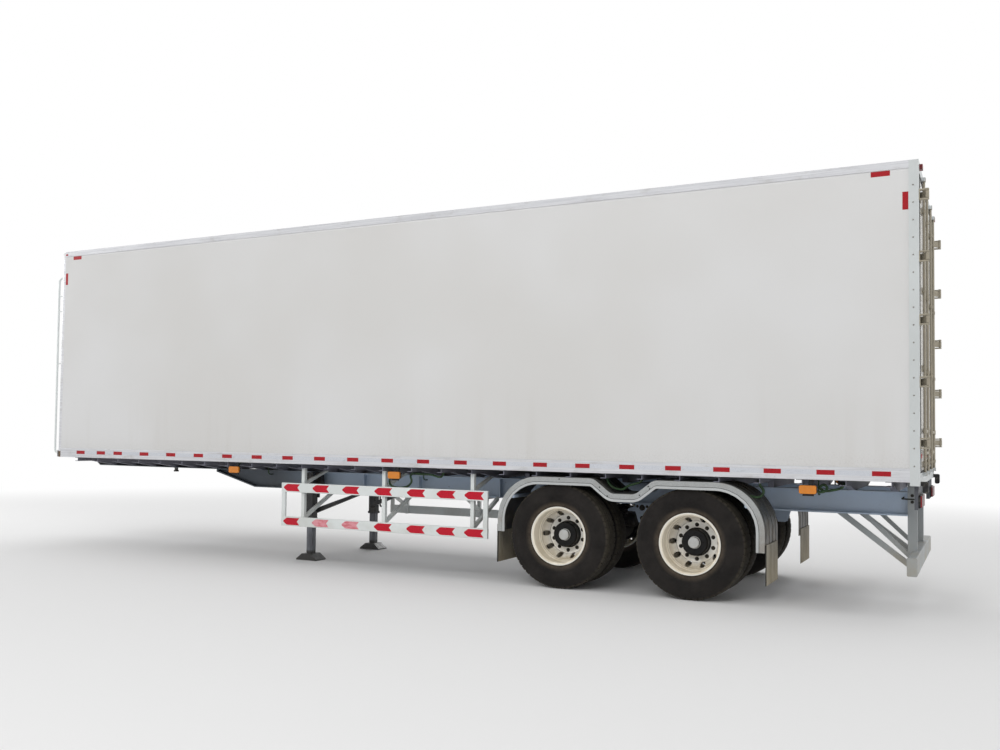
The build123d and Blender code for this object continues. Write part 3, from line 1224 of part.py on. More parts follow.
# Lamps
panel_x = rear_x + LAMP_PANEL_INSET
panel_outer_y = half_width - LAMP_PANEL_SIDE_INSET
with BuildPart() as lamp_panels:
    for side, side_name in SIDES:
        panel_y = side_span(side, panel_outer_y - LAMP_PANEL_WIDTH, panel_outer_y)
        block((panel_x, panel_x + LAMP_PANEL_THICKNESS), panel_y, (LAMP_PANEL_BOTTOM, sill_bottom))
lamp_panels.part.label = "lamp_panels"
export_step(lamp_panels.part, "parts/lamp_panels.step")

lens_depth, lens_width, lens_height = TAIL_LAMP_SIZE
lens_z = LAMP_PANEL_BOTTOM + TAIL_LAMP_MARGIN + lens_height / 2
with BuildPart() as tail_lamps:
    for side, side_name in SIDES:
        for index in range(TAIL_LAMP_COUNT):
            lens_y = panel_outer_y - TAIL_LAMP_MARGIN - lens_width / 2 - index * (lens_width + TAIL_LAMP_SPACING)
            lens_x = (panel_x - lens_depth, panel_x)
            rounded_bar("x", (side * lens_y, lens_z), (lens_width, lens_height), TAIL_LAMP_EDGE, lens_x)
tail_lamps.part.label = "tail_lamps"
export_step(tail_lamps.part, "parts/tail_lamps.step")

lens_length, lens_depth, lens_height = SIDE_LAMP_SIZE
side_lamp_face = half_width - SIDE_LAMP_SIDE_INSET
side_lamp_back = side_lamp_face - lens_depth
lens_top = DECK_HEIGHT - SIDE_LAMP_DROP
side_lamp_x = [member_x(member + share) for member, share in SIDE_LAMP_BAYS]
with BuildPart() as side_marker_lamps:
    for side, side_name in SIDES:
        for x in side_lamp_x:
            lens_y = side_span(side, side_lamp_back, side_lamp_face)
            rounded_bar("y", (x, lens_top - lens_height / 2), (lens_length, lens_height), SIDE_LAMP_EDGE, lens_y)
side_marker_lamps.part.label = "side_marker_lamps"
export_step(side_marker_lamps.part, "parts/side_marker_lamps.step")

# Each side lamp's base plate, reaching below the lens, and the strip that hangs it from the floor
base_length, base_thickness, base_reach = SIDE_LAMP_BASE
base_y = (side_lamp_back - base_thickness, side_lamp_back)
with BuildPart() as side_lamp_brackets:
    for side, side_name in SIDES:
        for x in side_lamp_x:
            base_z = (lens_top - lens_height - base_reach, lens_top)
            block(around(x, base_length), side_span(side, *base_y), base_z)
            block(around(x - base_length / 4, SIDE_LAMP_STRIP), side_span(side, *base_y), (lens_top, DECK_HEIGHT))
side_lamp_brackets.part.label = "side_lamp_brackets"
export_step(side_lamp_brackets.part, "parts/side_lamp_brackets.step")

lens_depth, lens_width, lens_height = CLEARANCE_LAMP_SIZE
lens_place_z = BOX_TOP - CLEARANCE_LAMP_DROP - lens_height / 2
with BuildPart() as clearance_lamps:
    for side, side_name in SIDES:
        lens_place = (side * (half_width - CLEARANCE_LAMP_SIDE_INSET), lens_place_z)
        rounded_bar("x", lens_place, (lens_width, lens_height), CLEARANCE_LAMP_EDGE, (rear_x - lens_depth, rear_x))
clearance_lamps.part.label = "clearance_lamps"
export_step(clearance_lamps.part, "parts/clearance_lamps.step")

# Leads: from each side lamp up under the floor, inwards, and down to the beam's web;
# from each lamp panel forwards, then inwards to the web
lead_start_y = base_y[0]
lead_floor_z = DECK_HEIGHT - LEAD_RADIUS - SEAT
panel_front_x = panel_x + LAMP_PANEL_THICKNESS
with BuildPart() as lamp_leads:
    for side, side_name in SIDES:
        for x in side_lamp_x:
            lamp_lead = (
                (x, side * lead_start_y, LEAD_LAMP_HEIGHT),
                (x, side * (lead_start_y - LEAD_TURN_Y), LEAD_LAMP_HEIGHT),
                (x, side * (lead_start_y - LEAD_TURN_Y), lead_floor_z),
                (x, side * LEAD_FALL_Y, lead_floor_z),
                (x, side * LEAD_FALL_Y, LEAD_BEAM_HEIGHT),
                (x, side * web_face_y, LEAD_BEAM_HEIGHT),
            )
            tube_path(lamp_lead, LEAD_BEND, LEAD_RADIUS)
        tail_lead = (
            (panel_front_x, side * TAIL_LEAD_Y, LEAD_BEAM_HEIGHT),
            (panel_front_x + TAIL_LEAD_RUN, side * TAIL_LEAD_Y, LEAD_BEAM_HEIGHT),
            (panel_front_x + TAIL_LEAD_RUN, side * web_face_y, LEAD_BEAM_HEIGHT),
        )
        tube_path(tail_lead, LEAD_BEND, LEAD_RADIUS)
lamp_leads.part.label = "lamp_leads"
export_step(lamp_leads.part, "parts/lamp_leads.step")

# Front fittings
grab_y = skin_y - FRONT_POST_RADIUS
grab_x = front_x + GRAB_RAIL_REACH
grab_bottom, grab_top = GRAB_RAIL_SPAN_Z
with BuildPart() as front_grab_rail:
    rail_points = (
        (front_x, grab_y, grab_bottom),
        (grab_x, grab_y, grab_bottom),
        (grab_x, grab_y, grab_top),
        (front_x, grab_y, grab_top),
    )
    tube_path(rail_points, GRAB_RAIL_BEND, GRAB_RAIL_RADIUS)
    for height in GRAB_RAIL_STAYS:
        cylinder("x", (grab_y, height), GRAB_RAIL_RADIUS / 2, (front_x, grab_x))
front_grab_rail.part.label = "front_grab_rail"
export_step(front_grab_rail.part, "parts/front_grab_rail.step")

panel_depth, panel_width, panel_height = COUPLING_PANEL_SIZE
stub_radius, stub_length = COUPLING_STUB
with BuildPart() as coupling_panel:
    panel_face_x = front_x + panel_depth
    panel_z = around(COUPLING_PANEL_HEIGHT, panel_height)
    block((front_x, panel_face_x), around(0, panel_width), panel_z)
    for y in COUPLING_OFFSETS:
        cylinder("x", (y, COUPLING_PANEL_HEIGHT), stub_radius, (panel_face_x, panel_face_x + stub_length))
coupling_panel.part.label = "coupling_panel"
export_step(coupling_panel.part, "parts/coupling_panel.step")
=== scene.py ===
"""Looks of the parked box semi trailer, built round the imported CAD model."""
import json
from math import cos, pi, radians, sin, tan

import bmesh
import bpy
from mathutils import Matrix, Vector


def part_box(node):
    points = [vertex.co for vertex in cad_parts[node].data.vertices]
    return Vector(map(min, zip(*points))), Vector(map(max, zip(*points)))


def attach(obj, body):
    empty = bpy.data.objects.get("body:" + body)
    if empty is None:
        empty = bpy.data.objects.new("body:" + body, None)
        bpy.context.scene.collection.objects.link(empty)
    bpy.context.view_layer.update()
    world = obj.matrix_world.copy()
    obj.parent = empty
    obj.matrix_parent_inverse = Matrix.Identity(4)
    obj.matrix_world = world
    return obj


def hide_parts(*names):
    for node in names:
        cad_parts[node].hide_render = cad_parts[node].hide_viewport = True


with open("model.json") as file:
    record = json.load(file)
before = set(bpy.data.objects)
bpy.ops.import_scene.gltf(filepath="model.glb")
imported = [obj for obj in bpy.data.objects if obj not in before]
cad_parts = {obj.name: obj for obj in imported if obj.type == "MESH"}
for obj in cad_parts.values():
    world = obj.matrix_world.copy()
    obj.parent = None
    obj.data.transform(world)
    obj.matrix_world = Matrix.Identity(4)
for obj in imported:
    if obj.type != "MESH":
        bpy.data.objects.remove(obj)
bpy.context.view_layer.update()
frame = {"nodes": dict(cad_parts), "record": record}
nodes = frame["nodes"]

# Camera, solved from the photograph
CAMERA_PLACE = Vector((-5.876, 10.551, 1.555))
CAMERA_YAW = radians(27.73)  # from -Y towards +X
CAMERA_PITCH = radians(2.11)
CAMERA_ROLL = radians(0.69)
CAMERA_RANGE = 200
FOCAL_PIXELS = 981.5
IMAGE_SIZE = (1000, 750)
PRINCIPAL_POINT = (469.9, 398.8)
SENSOR_WIDTH = 36.0

# Studio
WHITE = (1, 1, 1, 1)
FLOOR_SIZE = 160
FLOOR_GREY = (0.82, 0.82, 0.82, 1)
FLOOR_FADE = (8, 18)  # distances between which the floor turns white
SURROUND_LIGHT = 0.54
LIGHTS = (
    # name, place, aim, size, power, seen in reflections
    ("key", (-2, 14, 9), (0, 0, 1.5), (11, 5), 780, False),
    ("rear_fill", (-15, 2, 6), (-3, 0, 1.8), (6, 5), 340, False),
    ("far_fill", (2, -12, 8), (0, 0, 1.5), (10, 5), 600, True),
    ("front_fill", (14, 3, 6), (3, 0, 1.8), (6, 5), 420, True),
)

# Places taken from the CAD model, in metres
SIDES = {"left": 1, "right": -1}
FORE = Vector((1, 0, 0))
AFT = Vector((-1, 0, 0))
UP = Vector((0, 0, 1))
AXLE_X = {"front": -2.005, "rear": -3.36}
AXLE_MIDDLE_X = (AXLE_X["front"] + AXLE_X["rear"]) / 2
WHEEL_RADIUS = 0.535
TYRE_MIDDLES = (1.095, 0.755)
DISC_FACE_Y = 0.937
HUB_END_Y = 1.03
SIDE_Y = 1.275
SKIN_Y = 1.267
FRONT_X = 5.375
REAR_X = -5.375
ROOF_TOP = 3.992
GUARD_FACE_Y = 1.225
GUARD_RAIL_HEIGHTS = (0.908, 0.51)
SIDE_LAMP_X = (-4.447, -0.04, 2.2625)
SIDE_LAMP_Z = 1.0975
SIDE_LAMP_BACK_Y = 1.2195
TAIL_LAMP_Y = (1.095, 0.955, 0.815)
TAIL_LAMP_Z = 1.02
LAMP_PANEL_X = -5.355
HINGE_HEIGHTS = (1.53, 2.06, 2.6, 3.15, 3.69)
ROD_PLACES = (0.328, 0.868)
GUIDE_HEIGHTS = (1.34, 2.2, 2.9, 3.62)
SPRING_Y = 0.5
HANGER_FACE_Y = 0.563
HANGER_REACH = 0.56  # from an axle to the hanger beyond it
LEG_X = 1.49
LEG_FACE_Y = 0.747
UNDERRIDE_POST_X = -5.268
UNDERRIDE_FACE_Y = 0.53
COUPLING_FACE_X = 5.4345
COUPLING_Z = 1.34

# Reflective tape
TAPE_THICKNESS = 0.0005
TAPE_HALF_LENGTH = 0.0775
TAPE_Z = (1.2365, 1.2805)
TAPE_ROW = (-5.068, 0.4637, 20)  # first middle, pitch, count
TAPE_EXTRA_X = (4.214, 4.526, 4.909)
TAPE_JOINT = 0.006
CORNER_TAPES = (
    # span in x, span in z, distance from the trailer's middle
    ((-5.145, -4.987), (3.88, 3.927), SKIN_Y),
    ((-5.292, -5.244), (3.567, 3.725), SKIN_Y),
    ((5.0, 5.155), (3.88, 3.927), SKIN_Y),
    ((5.252, 5.297), (3.545, 3.704), SKIN_Y),
    ((5.254, 5.296), (3.946, 3.968), SIDE_Y),
)
DOOR_TAPE_Y = (0.15, 0.6, 1.05)
DOOR_TAPE_HALF_LENGTH = 0.1
DOOR_TAPE_Z = (1.395, 1.439)

# Arrows on the side guards: middles, and the upper half of an arrow from its tip to its notch
ARROW_X = (1.39, 0.97, 0.55, 0.11, -0.318, -0.695, -1.04)
ARROW_HALF = ((0.1175, 0.008), (0.07285, 0.03864), (0.052875, 0.042), (-0.1175, 0.042), (-0.0825, 0))

# Rivets, each row as its first place, pitch and count
POST_RIVET_X = -5.33
POST_RIVET_ROW = (1.33, 0.153, 17)
POST_RIVET_RADIUS = 0.007
RAIL_RIVET_ROW = (-5.22, 0.151, 70)
RAIL_RIVET_HEIGHTS = (3.942, 1.299, 1.206)
RAIL_RIVET_RADIUS = 0.0055
ROOF_RIVET_ROW = (-1.16, 0.145, 17)
ROOF_RIVET_RADIUS = 0.005
FRONT_RIVET_Y = 1.222
FRONT_RIVET_ROW = (1.3, 0.15, 18)
FRONT_RIVET_RADIUS = 0.0065
SILL_RIVET_Z = 1.225
SILL_RIVET_ROW = (-1.2, 0.2, 13)

# Cover strips across the roof, and the sheet over the floor's front edge
ROOF_STRIP_ROW = (-4.2, 1.2, 8)
ROOF_STRIP_HALF_WIDTH = 0.02
ROOF_STRIP_HALF_LENGTH = 1.205
ROOF_STRIP_CORNER = 0.004
ROOF_STRIP_THICKNESS = 0.002
ROOF_STRIP_BEVEL = 0.0008
FRONT_SILL_MARGIN = 0.002
FRONT_SILL_LAP = 0.012
FRONT_SILL_THICKNESS = 0.003

# Fixings: distances along the axis and radii of the heads, both as shares of the fixing's radius
RIVET_PROFILE = ((0, 1), (0.3, 0.94), (0.55, 0.7), (0.68, 0.3))
WASHER_HEIGHT = 0.18
HEAD_PROFILE = ((WASHER_HEIGHT, 1), (0.75, 1), (0.9, 0.86))
STUD_START = 0.9
STUD_WIDTH = 0.55
STUD_END_WIDTH = 0.42
STUD_CHAMFER = 0.002  # in metres

# Wheel fittings, with profiles as distances along the axis and radii
TYRE_SMOOTH_BELOW = 32
NUT_CIRCLE = (0.1675, 10, 18)  # radius, count, first angle
NUT_RADIUS = 0.0135
NUT_STUD = 0.034
HUB_BOLT_CIRCLE = (0.088, 8, 0)
HUB_BOLT_RADIUS = 0.008
VALVES = ((0.255, -0.008), (0.247, -0.042))  # height over the axle, start from the disc's face
VALVE_PROFILE = ((0, 0.0045), (0.03, 0.0045), (0.034, 0.006), (0.046, 0.006), (0.048, 0.003))
CAP_GAP = 0.0005
CAP_PROFILE = (
    (0, 0.06), (0.006, 0.06), (0.008, 0.0545), (0.034, 0.0545),
    (0.041, 0.049), (0.0425, 0.046), (0.042, 0.041), (0.042, 0.004),
)

# Frames, outside and inside: half the length, half the height, corner
SIDE_LAMP_RIM = ((0.081, 0.0435, 0.02), (0.0745, 0.037, 0.0165))
SIDE_LAMP_RIM_DEPTH = 0.012
TAIL_LAMP_BEZEL = ((0.0695, 0.0545, 0.014), (0.0655, 0.0505, 0.0125))
TAIL_LAMP_BEZEL_DEPTH = 0.016
TAIL_LAMP_SCREW_Z = (0.957, 1.084)
TAIL_LAMP_SCREW_RADIUS = 0.0045

# Rear doors
GASKET = (
    # span in y, span in z, corner
    ((0.001, 1.204), (1.271, 3.889), 0.004),
    ((0.018, 1.186), (1.289, 3.871), 0.01),
)
GASKET_X = REAR_X + 0.003
GASKET_DEPTH = 0.007
HINGE_BLADE_X = REAR_X - 0.008
HINGE_BOLT_Y = (1.058, 1.104, 1.15)
HINGE_BOLT_RADIUS = 0.0095
GUIDE_PLATE_X = REAR_X - 0.006
GUIDE_BOLT_ACROSS = (-0.034, 0.034)
GUIDE_BOLT_RADIUS = 0.007

# Bolts under the floor
CLAMP_ALONG = (-0.076, 0.076)
CLAMP_ACROSS = (-0.055, 0.055)
CLAMP_ENDS = ((0.4582, -1, 0.03), (0.7195, 1, 0.026))  # height, way, stud
CLAMP_NUT_RADIUS = 0.0145
PIVOT_BOLT = (0.815, 0.024, 1.3)  # height, radius, washer
SPRING_PIN = (0.705, 0.016)  # height, radius
HANGER_BOLT_ALONG = (-0.052, 0.052)
HANGER_BOLT_Z = 0.828
LEG_BOLT_ALONG = (-0.032, 0.032)
LEG_BOLT_HEIGHTS = (0.985, 1.035)
UNDERRIDE_BOLT_HEIGHTS = (0.405, 0.495, 0.98, 1.04)
BOLT_RADIUS = 0.01

# Coupling panel on the front wall; a lug has half a width, its heights over the middle, corner, x and depth
AIR_COUPLINGS = ((-0.225, "right", "cap_red", "red_lens"), (0.225, "left", "cap_yellow", "amber_lens"))
AIR_PROFILE = ((0, 0.031), (0.012, 0.034), (0.02, 0.034), (0.026, 0.029), (0.0455, 0.0285), (0.0468, 0.024))
AIR_LUG = (0.014, (0.03, 0.062), 0.004, 5.452, 0.012)
SOCKET_Y = (-0.075, 0.075)
SOCKET_PROFILE = (
    (0, 0.036), (0.006, 0.036), (0.008, 0.03), (0.036, 0.0295),
    (0.038, 0.034), (0.045, 0.034), (0.047, 0.031),
)
SOCKET_LUG = (0.018, (0.028, 0.046), 0.003, 5.47, 0.011)
LUG_BEVEL = 0.002
PANEL_SCREW_X = 5.435
PANEL_SCREW_Y = (-0.28, -0.15, 0, 0.15, 0.28)
PANEL_SCREW_Z = (1.262, 1.418)
PANEL_SCREW_RADIUS = 0.006

# The fenders' upper line, and the strips and small screws on their outer bands
FENDER_FACE_Y = 1.262
FENDER_LINE = (
    (-1.34, 0.555), (-1.34, 1.135), (-2.395, 1.135), (-2.58, 0.99),
    (-2.83, 0.99), (-3.015, 1.135), (-4.07, 1.135), (-4.07, 0.5),
)
FENDER_RADII = (0.455, 0.12, 0.12, 0.12, 0.12, 0.455)
ARC_STEPS = 8
FENDER_STRIPS = (
    # name, finish, record slot, distances from the line, thickness
    # the first strip is a thin dark line of painted shadow along the top edge of the raised lip
    ("painted_shadow_line", "gasket_rubber", "rubber", (0.048, 0.0525), 0.0006),
    ("lip", "fender_lip", "fender_sheet", (0.0525, 0.0765), 0.0035),
)
FENDER_SCREW_RADIUS = 0.005
FENDER_SCREWS = (
    (-2.03, 1.118), (-2.464, 1.05), (-2.465, 1.012), (-2.546, 0.965),
    (-2.877, 0.986), (-2.966, 1.074), (-2.98, 1.052),
)

# Looms on the left side, from a lamp or a cross member to the next hold
LOOM_RADIUS = 0.012
LOOM_ROUTES = {
    "lamp": (
        (0.015, 1.213, 1.08), (0.055, 1.175, 1.055), (0.08, 1.15, 1.0), (0.04, 1.145, 0.962),
        (-0.06, 1.145, 0.952), (-0.165, 1.145, 0.97), (-0.22, 1.145, 1.03), (-0.19, 1.15, 1.095),
        (-0.235, 1.15, 1.126), (-0.32, 1.15, 1.114), (-0.46, 1.15, 1.118), (-0.56, 1.15, 1.085),
        (-0.615, 1.15, 1.1), (-0.625, 1.15, 1.16),
    ),
    "dip": (
        (-2.5, 1.15, 1.16), (-2.505, 1.15, 1.115), (-2.535, 1.15, 1.065), (-2.6, 1.145, 1.034),
        (-2.665, 1.14, 1.024), (-2.725, 1.15, 1.07), (-2.8, 1.15, 1.092), (-2.865, 1.15, 1.112),
        (-2.875, 1.15, 1.16),
    ),
    "fender": (
        (-4.0, 1.15, 1.16), (-4.005, 1.15, 1.115), (-4.045, 1.15, 1.07), (-4.03, 1.15, 1.02),
        (-3.97, 1.152, 0.998), (-3.915, 1.155, 1.016),
    ),
    "rear_lamp": (
        (-4.48, 1.213, 1.095), (-4.52, 1.175, 1.075), (-4.58, 1.15, 1.075), (-4.61, 1.145, 1.115),
        (-4.57, 1.14, 1.15), (-4.53, 1.14, 1.115), (-4.57, 1.135, 1.078), (-4.66, 1.14, 1.095),
        (-4.74, 1.15, 1.12), (-4.75, 1.15, 1.16),
    ),
}

# Tyre tread, and the tyre's section as distances from its middle plane and radii
TREAD_PITCHES = 54
PITCH_STEPS = (0.0, 0.06, 0.16, 0.22, 0.61)
SLOT_STEPS = (0.06, 0.16)
ZIGZAG_PEAK = 0.11
ZIGZAG = 0.004
SLOT_DEPTH = 0.009
TYRE_WALL = (
    (0.11, 0.286), (0.115, 0.299), (0.1185, 0.3065), (0.124, 0.3125), (0.1275, 0.3155),
    (0.1285, 0.3195), (0.1298, 0.328), (0.1345, 0.342), (0.1388, 0.356), (0.1412, 0.3605),
    (0.1428, 0.363), (0.1428, 0.3672), (0.1424, 0.37), (0.1455, 0.385), (0.1485, 0.4),
    (0.1498, 0.415), (0.149, 0.432), (0.1465, 0.448), (0.1444, 0.457), (0.1432, 0.4595),
    (0.1415, 0.47), (0.1385, 0.483), (0.1352, 0.496), (0.133, 0.505),
)
TYRE_SHOULDER = ((0.1312, 0.512), (0.1268, 0.5222), (0.121, 0.5272), (0.111, 0.53))
TYRE_GROOVES = (
    (0.0795, 0.5322), (0.076, 0.5195), (0.069, 0.5195), (0.0655, 0.533),
    (0.0335, 0.5343), (0.03, 0.5205), (0.023, 0.5205), (0.0195, 0.5347),
)


def linear(code):
    """An sRGB hex colour as linear RGBA."""
    channels = [int(code[i:i + 2], 16) / 255 for i in (0, 2, 4)]
    return tuple(c / 12.92 if c <= 0.04045 else ((c + 0.055) / 1.055) ** 2.4 for c in channels) + (1.0,)


def shade(code, factor):
    """A darker or lighter version of a colour."""
    return tuple(min(1.0, c * factor) for c in linear(code)[:3]) + (1.0,)


class NodeTree:
    """A node tree under construction."""

    def __init__(self, tree):
        self.tree = tree

    def feed(self, source, target):
        """Link an output to an input, or set a plain value or a hex colour on it."""
        if isinstance(source, bpy.types.NodeSocket):
            self.tree.links.new(source, target)
        else:
            target.default_value = linear(source) if isinstance(source, str) else source

    def add(self, kind, inputs, **properties):
        """A new shader node with its properties set and its inputs fed."""
        node = self.tree.nodes.new("ShaderNode" + kind)
        for name, value in properties.items():
            setattr(node, name, value)
        for name, source in inputs.items():
            self.feed(source, node.inputs[name])
        return node

    def maths(self, operation, first, second=0.0):
        return self.add("Math", {0: first, 1: second}, operation=operation).outputs["Value"]

    def show(self, amount, first, second, output):
        """Send a blend of two shaders to the tree's output."""
        blend = self.add("MixShader", {0: amount, 1: first.outputs[0], 2: second.outputs[0]})
        self.feed(blend.outputs[0], self.tree.nodes[output].inputs["Surface"])


class Finish(NodeTree):
    """A material under construction, coloured layer by layer."""

    def __init__(self, name, metallic=0.0, coat=0.0, coat_roughness=0.08, specular=0.5):
        self.material = bpy.data.materials.new(name)
        self.material.use_nodes = True
        super().__init__(self.material.node_tree)
        self.bsdf = self.tree.nodes["Principled BSDF"]
        self.bsdf.inputs["Metallic"].default_value = metallic
        self.bsdf.inputs["Coat Weight"].default_value = coat
        self.bsdf.inputs["Coat Roughness"].default_value = coat_roughness
        self.bsdf.inputs["Specular IOR Level"].default_value = specular
        self.place = self.add("TexCoord", {}).outputs["Object"]

    def stretched(self, stretch):
        return self.add("Mapping", {"Scale": stretch, "Vector": self.place}).outputs["Vector"]

    def noise(self, scale, detail, stretch=(1, 1, 1), rough=0.55):
        inputs = {"Scale": scale, "Detail": detail, "Roughness": rough, "Vector": self.stretched(stretch)}
        return self.add("TexNoise", inputs).outputs["Fac"]

    def cells(self, scale, feature="F1"):
        """Distances within scattered cells, for honeycomb and spangle."""
        inputs = {"Scale": scale, "Vector": self.stretched((1, 1, 1))}
        return self.add("TexVoronoi", inputs, feature=feature).outputs["Distance"]

    def axis(self, letter):
        return self.add("SeparateXYZ", {"Vector": self.place}).outputs[letter]

    def ramp(self, value, low, high, start=0.0, end=1.0):
        """Map a value from low..high onto start..end, clamped, smoothly."""
        inputs = {"Value": value, "From Min": low, "From Max": high, "To Min": start, "To Max": end}
        return self.add("MapRange", inputs, interpolation_type="SMOOTHSTEP").outputs["Result"]

    def patches(self, scale, detail, low, high, start=0.0, end=1.0, **grain):
        """Noise mapped by a ramp."""
        return self.ramp(self.noise(scale, detail, **grain), low, high, start, end)

    def times(self, *factors):
        product = factors[0]
        for factor in factors[1:]:
            product = self.maths("MULTIPLY", product, factor)
        return product

    def within(self, value, rise, fall):
        """One between two ramps of a value, nought outside them."""
        return self.times(self.ramp(value, *rise), self.ramp(value, *fall))

    def wave(self, value, rate):
        return self.maths("SINE", self.times(value, rate))

    def outwards(self):
        """Distance from the trailer's middle plane."""
        return self.maths("ABSOLUTE", self.axis("Y"))

    def axle_distance(self):
        """Distance from the nearer axle's line."""
        along = self.maths("ABSOLUTE", self.maths("SUBTRACT", self.axis("X"), AXLE_MIDDLE_X))
        along = self.maths("SUBTRACT", along, AXLE_X["front"] - AXLE_MIDDLE_X)
        up = self.maths("SUBTRACT", self.axis("Z"), WHEEL_RADIUS)
        squares = self.maths("ADD", self.times(along, along), self.times(up, up))
        return self.maths("SQRT", squares)

    def mix(self, amount, first, second):
        """Blend two colours."""
        return self.add("Mix", {0: amount, 6: first, 7: second}, data_type="RGBA").outputs[2]

    def base(self, amount, first, second):
        """Start the colour as a blend of two."""
        self.feed(self.mix(amount, first, second), self.bsdf.inputs["Base Color"])

    def layer(self, amount, colour):
        """Lay a colour over those that are there."""
        below = self.bsdf.inputs["Base Color"].links[0].from_socket
        self.base(amount, below, colour)

    def roughness(self, source):
        self.feed(source, self.bsdf.inputs["Roughness"])

    def bump(self, height, distance, strength):
        """Raise the surface by a height; a second call adds to the first."""
        node = self.add("Bump", {"Strength": strength, "Distance": distance, "Height": height})
        normal = self.bsdf.inputs["Normal"]
        if normal.is_linked:
            self.feed(normal.links[0].from_socket, node.inputs["Normal"])
        self.feed(node.outputs["Normal"], normal)

    def weather(self, dirt, dirt_top, dust, chips, gloss):
        """Dust that thickens towards the ground, rust chips, and the orange peel of paint."""
        height = self.ramp(self.axis("Z"), dirt_top, 0.1)
        clumps = self.patches(3.2, 8, 0.38, 0.68, rough=0.65)
        self.layer(self.times(height, clumps, dust), dirt)
        if chips:
            self.layer(self.patches(26, 6, 0.66, 0.70, 0, chips, rough=0.7), "5a3a26")
        self.roughness(self.patches(30, 3, 0.2, 0.8, gloss, gloss + 0.15))
        self.bump(self.noise(140, 2), 0.0003, 0.5)


def painted(name, colour, dirt="8a8478", gloss=0.35, tone=0.93, dirt_top=1.3, dust=0.35, chips=0.0,
            metallic=0.0, specular=0.5):
    """Weathered paint with a faint change of tone."""
    look = Finish(name, metallic, specular=specular)
    look.base(look.patches(1.3, 4, 0.35, 0.7), shade(colour, tone), colour)
    look.weather(dirt, dirt_top, dust, chips, gloss)
    return look


def sandwich_panel():
    """Glossy white sheet over foam: even, a little wavy, with faint streaks below and a dusty lower edge."""
    look = Finish("panel_gloss_white", coat=0.55, coat_roughness=0.05)
    look.base(look.patches(0.45, 2, 0.3, 0.7), "d0cfcd", "d7d7d7")
    streaks = look.patches(5.0, 5, 0.52, 0.75, 0, 0.10, stretch=(1, 1, 0.05))
    look.layer(look.times(streaks, look.ramp(look.axis("Z"), 2.3, 1.25)), "a9a294")
    dust = look.ramp(look.axis("Z"), 1.55, 1.28, 0, 0.18)
    look.layer(look.times(dust, look.patches(60, 5, 0.45, 0.7, rough=0.7)), "8f887b")
    look.roughness(look.patches(2.2, 4, 0.3, 0.7, 0.16, 0.27))
    look.bump(look.noise(0.9, 1, stretch=(1, 1, 0.6)), 0.010, 0.35)
    look.bump(look.noise(90, 2), 0.00012, 0.3)
    return look


def extruded_rail():
    """Pale anodised extrusion with drawing lines along its length."""
    look = Finish("rail_anodised", metallic=0.25)
    lines = look.noise(90, 3, stretch=(0.02, 1, 1))
    look.base(look.ramp(lines, 0.35, 0.65), "c9cace", "d8d9dc")
    look.layer(look.patches(7, 7, 0.5, 0.72, 0, 0.35, stretch=(0.5, 1, 1), rough=0.68), "9b968c")
    look.roughness(look.ramp(lines, 0.3, 0.7, 0.30, 0.42))
    look.bump(lines, 0.0003, 0.4)
    return look


def zinc_coated(name, tint, metallic, bloom="c9c8c2"):
    """Galvanised steel with spangle, pale bloom and a few rusty runs."""
    look = Finish(name, metallic)
    spangle = look.cells(70)
    look.base(look.ramp(spangle, 0.1, 0.7), shade(tint, 0.92), shade(tint, 1.05))
    look.layer(look.patches(9, 6, 0.55, 0.75, 0, 0.4), bloom)
    look.layer(look.patches(14, 6, 0.66, 0.75, 0, 0.45, stretch=(1, 1, 0.25), rough=0.7), "6b4a30")
    look.roughness(look.ramp(spangle, 0.1, 0.7, 0.38, 0.55))
    look.bump(look.noise(55, 3), 0.0004, 0.5)
    return look


def deck_planks():
    """Hardwood boards along the trailer, with dark joints, grain and scuffs."""
    look = Finish("deck_boards")
    board = look.maths("FRACT", look.times(look.axis("Y"), 7.5))
    joint = look.maths("ADD", look.ramp(board, 0.035, 0.0), look.ramp(board, 0.965, 1.0))
    grain = look.noise(14, 6, stretch=(0.08, 1.6, 1.6), rough=0.65)
    look.base(look.ramp(grain, 0.3, 0.7), "4a3826", "7a6142")
    look.layer(look.patches(3, 7, 0.5, 0.75, 0, 0.4, stretch=(0.4, 1, 1)), "8a8172")
    look.layer(joint, "17110b")
    look.roughness(look.ramp(grain, 0.3, 0.7, 0.6, 0.8))
    look.bump(grain, 0.001, 0.5)
    look.bump(joint, 0.004, -0.8)
    return look


def tyre_rubber():
    """Worn rubber: brown dust in a band round the rim and on the tread, with moulded rings on the wall."""
    look = Finish("tyre_worn", specular=0.22)
    radius = look.axle_distance()
    dust = look.patches(11, 8, 0.3, 0.7, 0.35, 1.0, rough=0.7)
    look.base(look.patches(5, 5, 0.3, 0.7), "1b1918", "282523")
    look.layer(look.times(look.ramp(radius, 0.365, 0.31, 0, 0.6), dust), "62574a")
    look.layer(look.times(look.ramp(radius, 0.505, 0.53, 0, 0.4), dust), "6a6456")
    look.roughness(look.patches(40, 3, 0.2, 0.8, 0.68, 0.88))
    on_wall = look.within(radius, (0.37, 0.385), (0.45, 0.435))
    look.bump(look.times(look.wave(radius, 700.0), on_wall), 0.0008, 0.5)
    look.bump(look.noise(180, 3), 0.0006, 0.6)
    return look


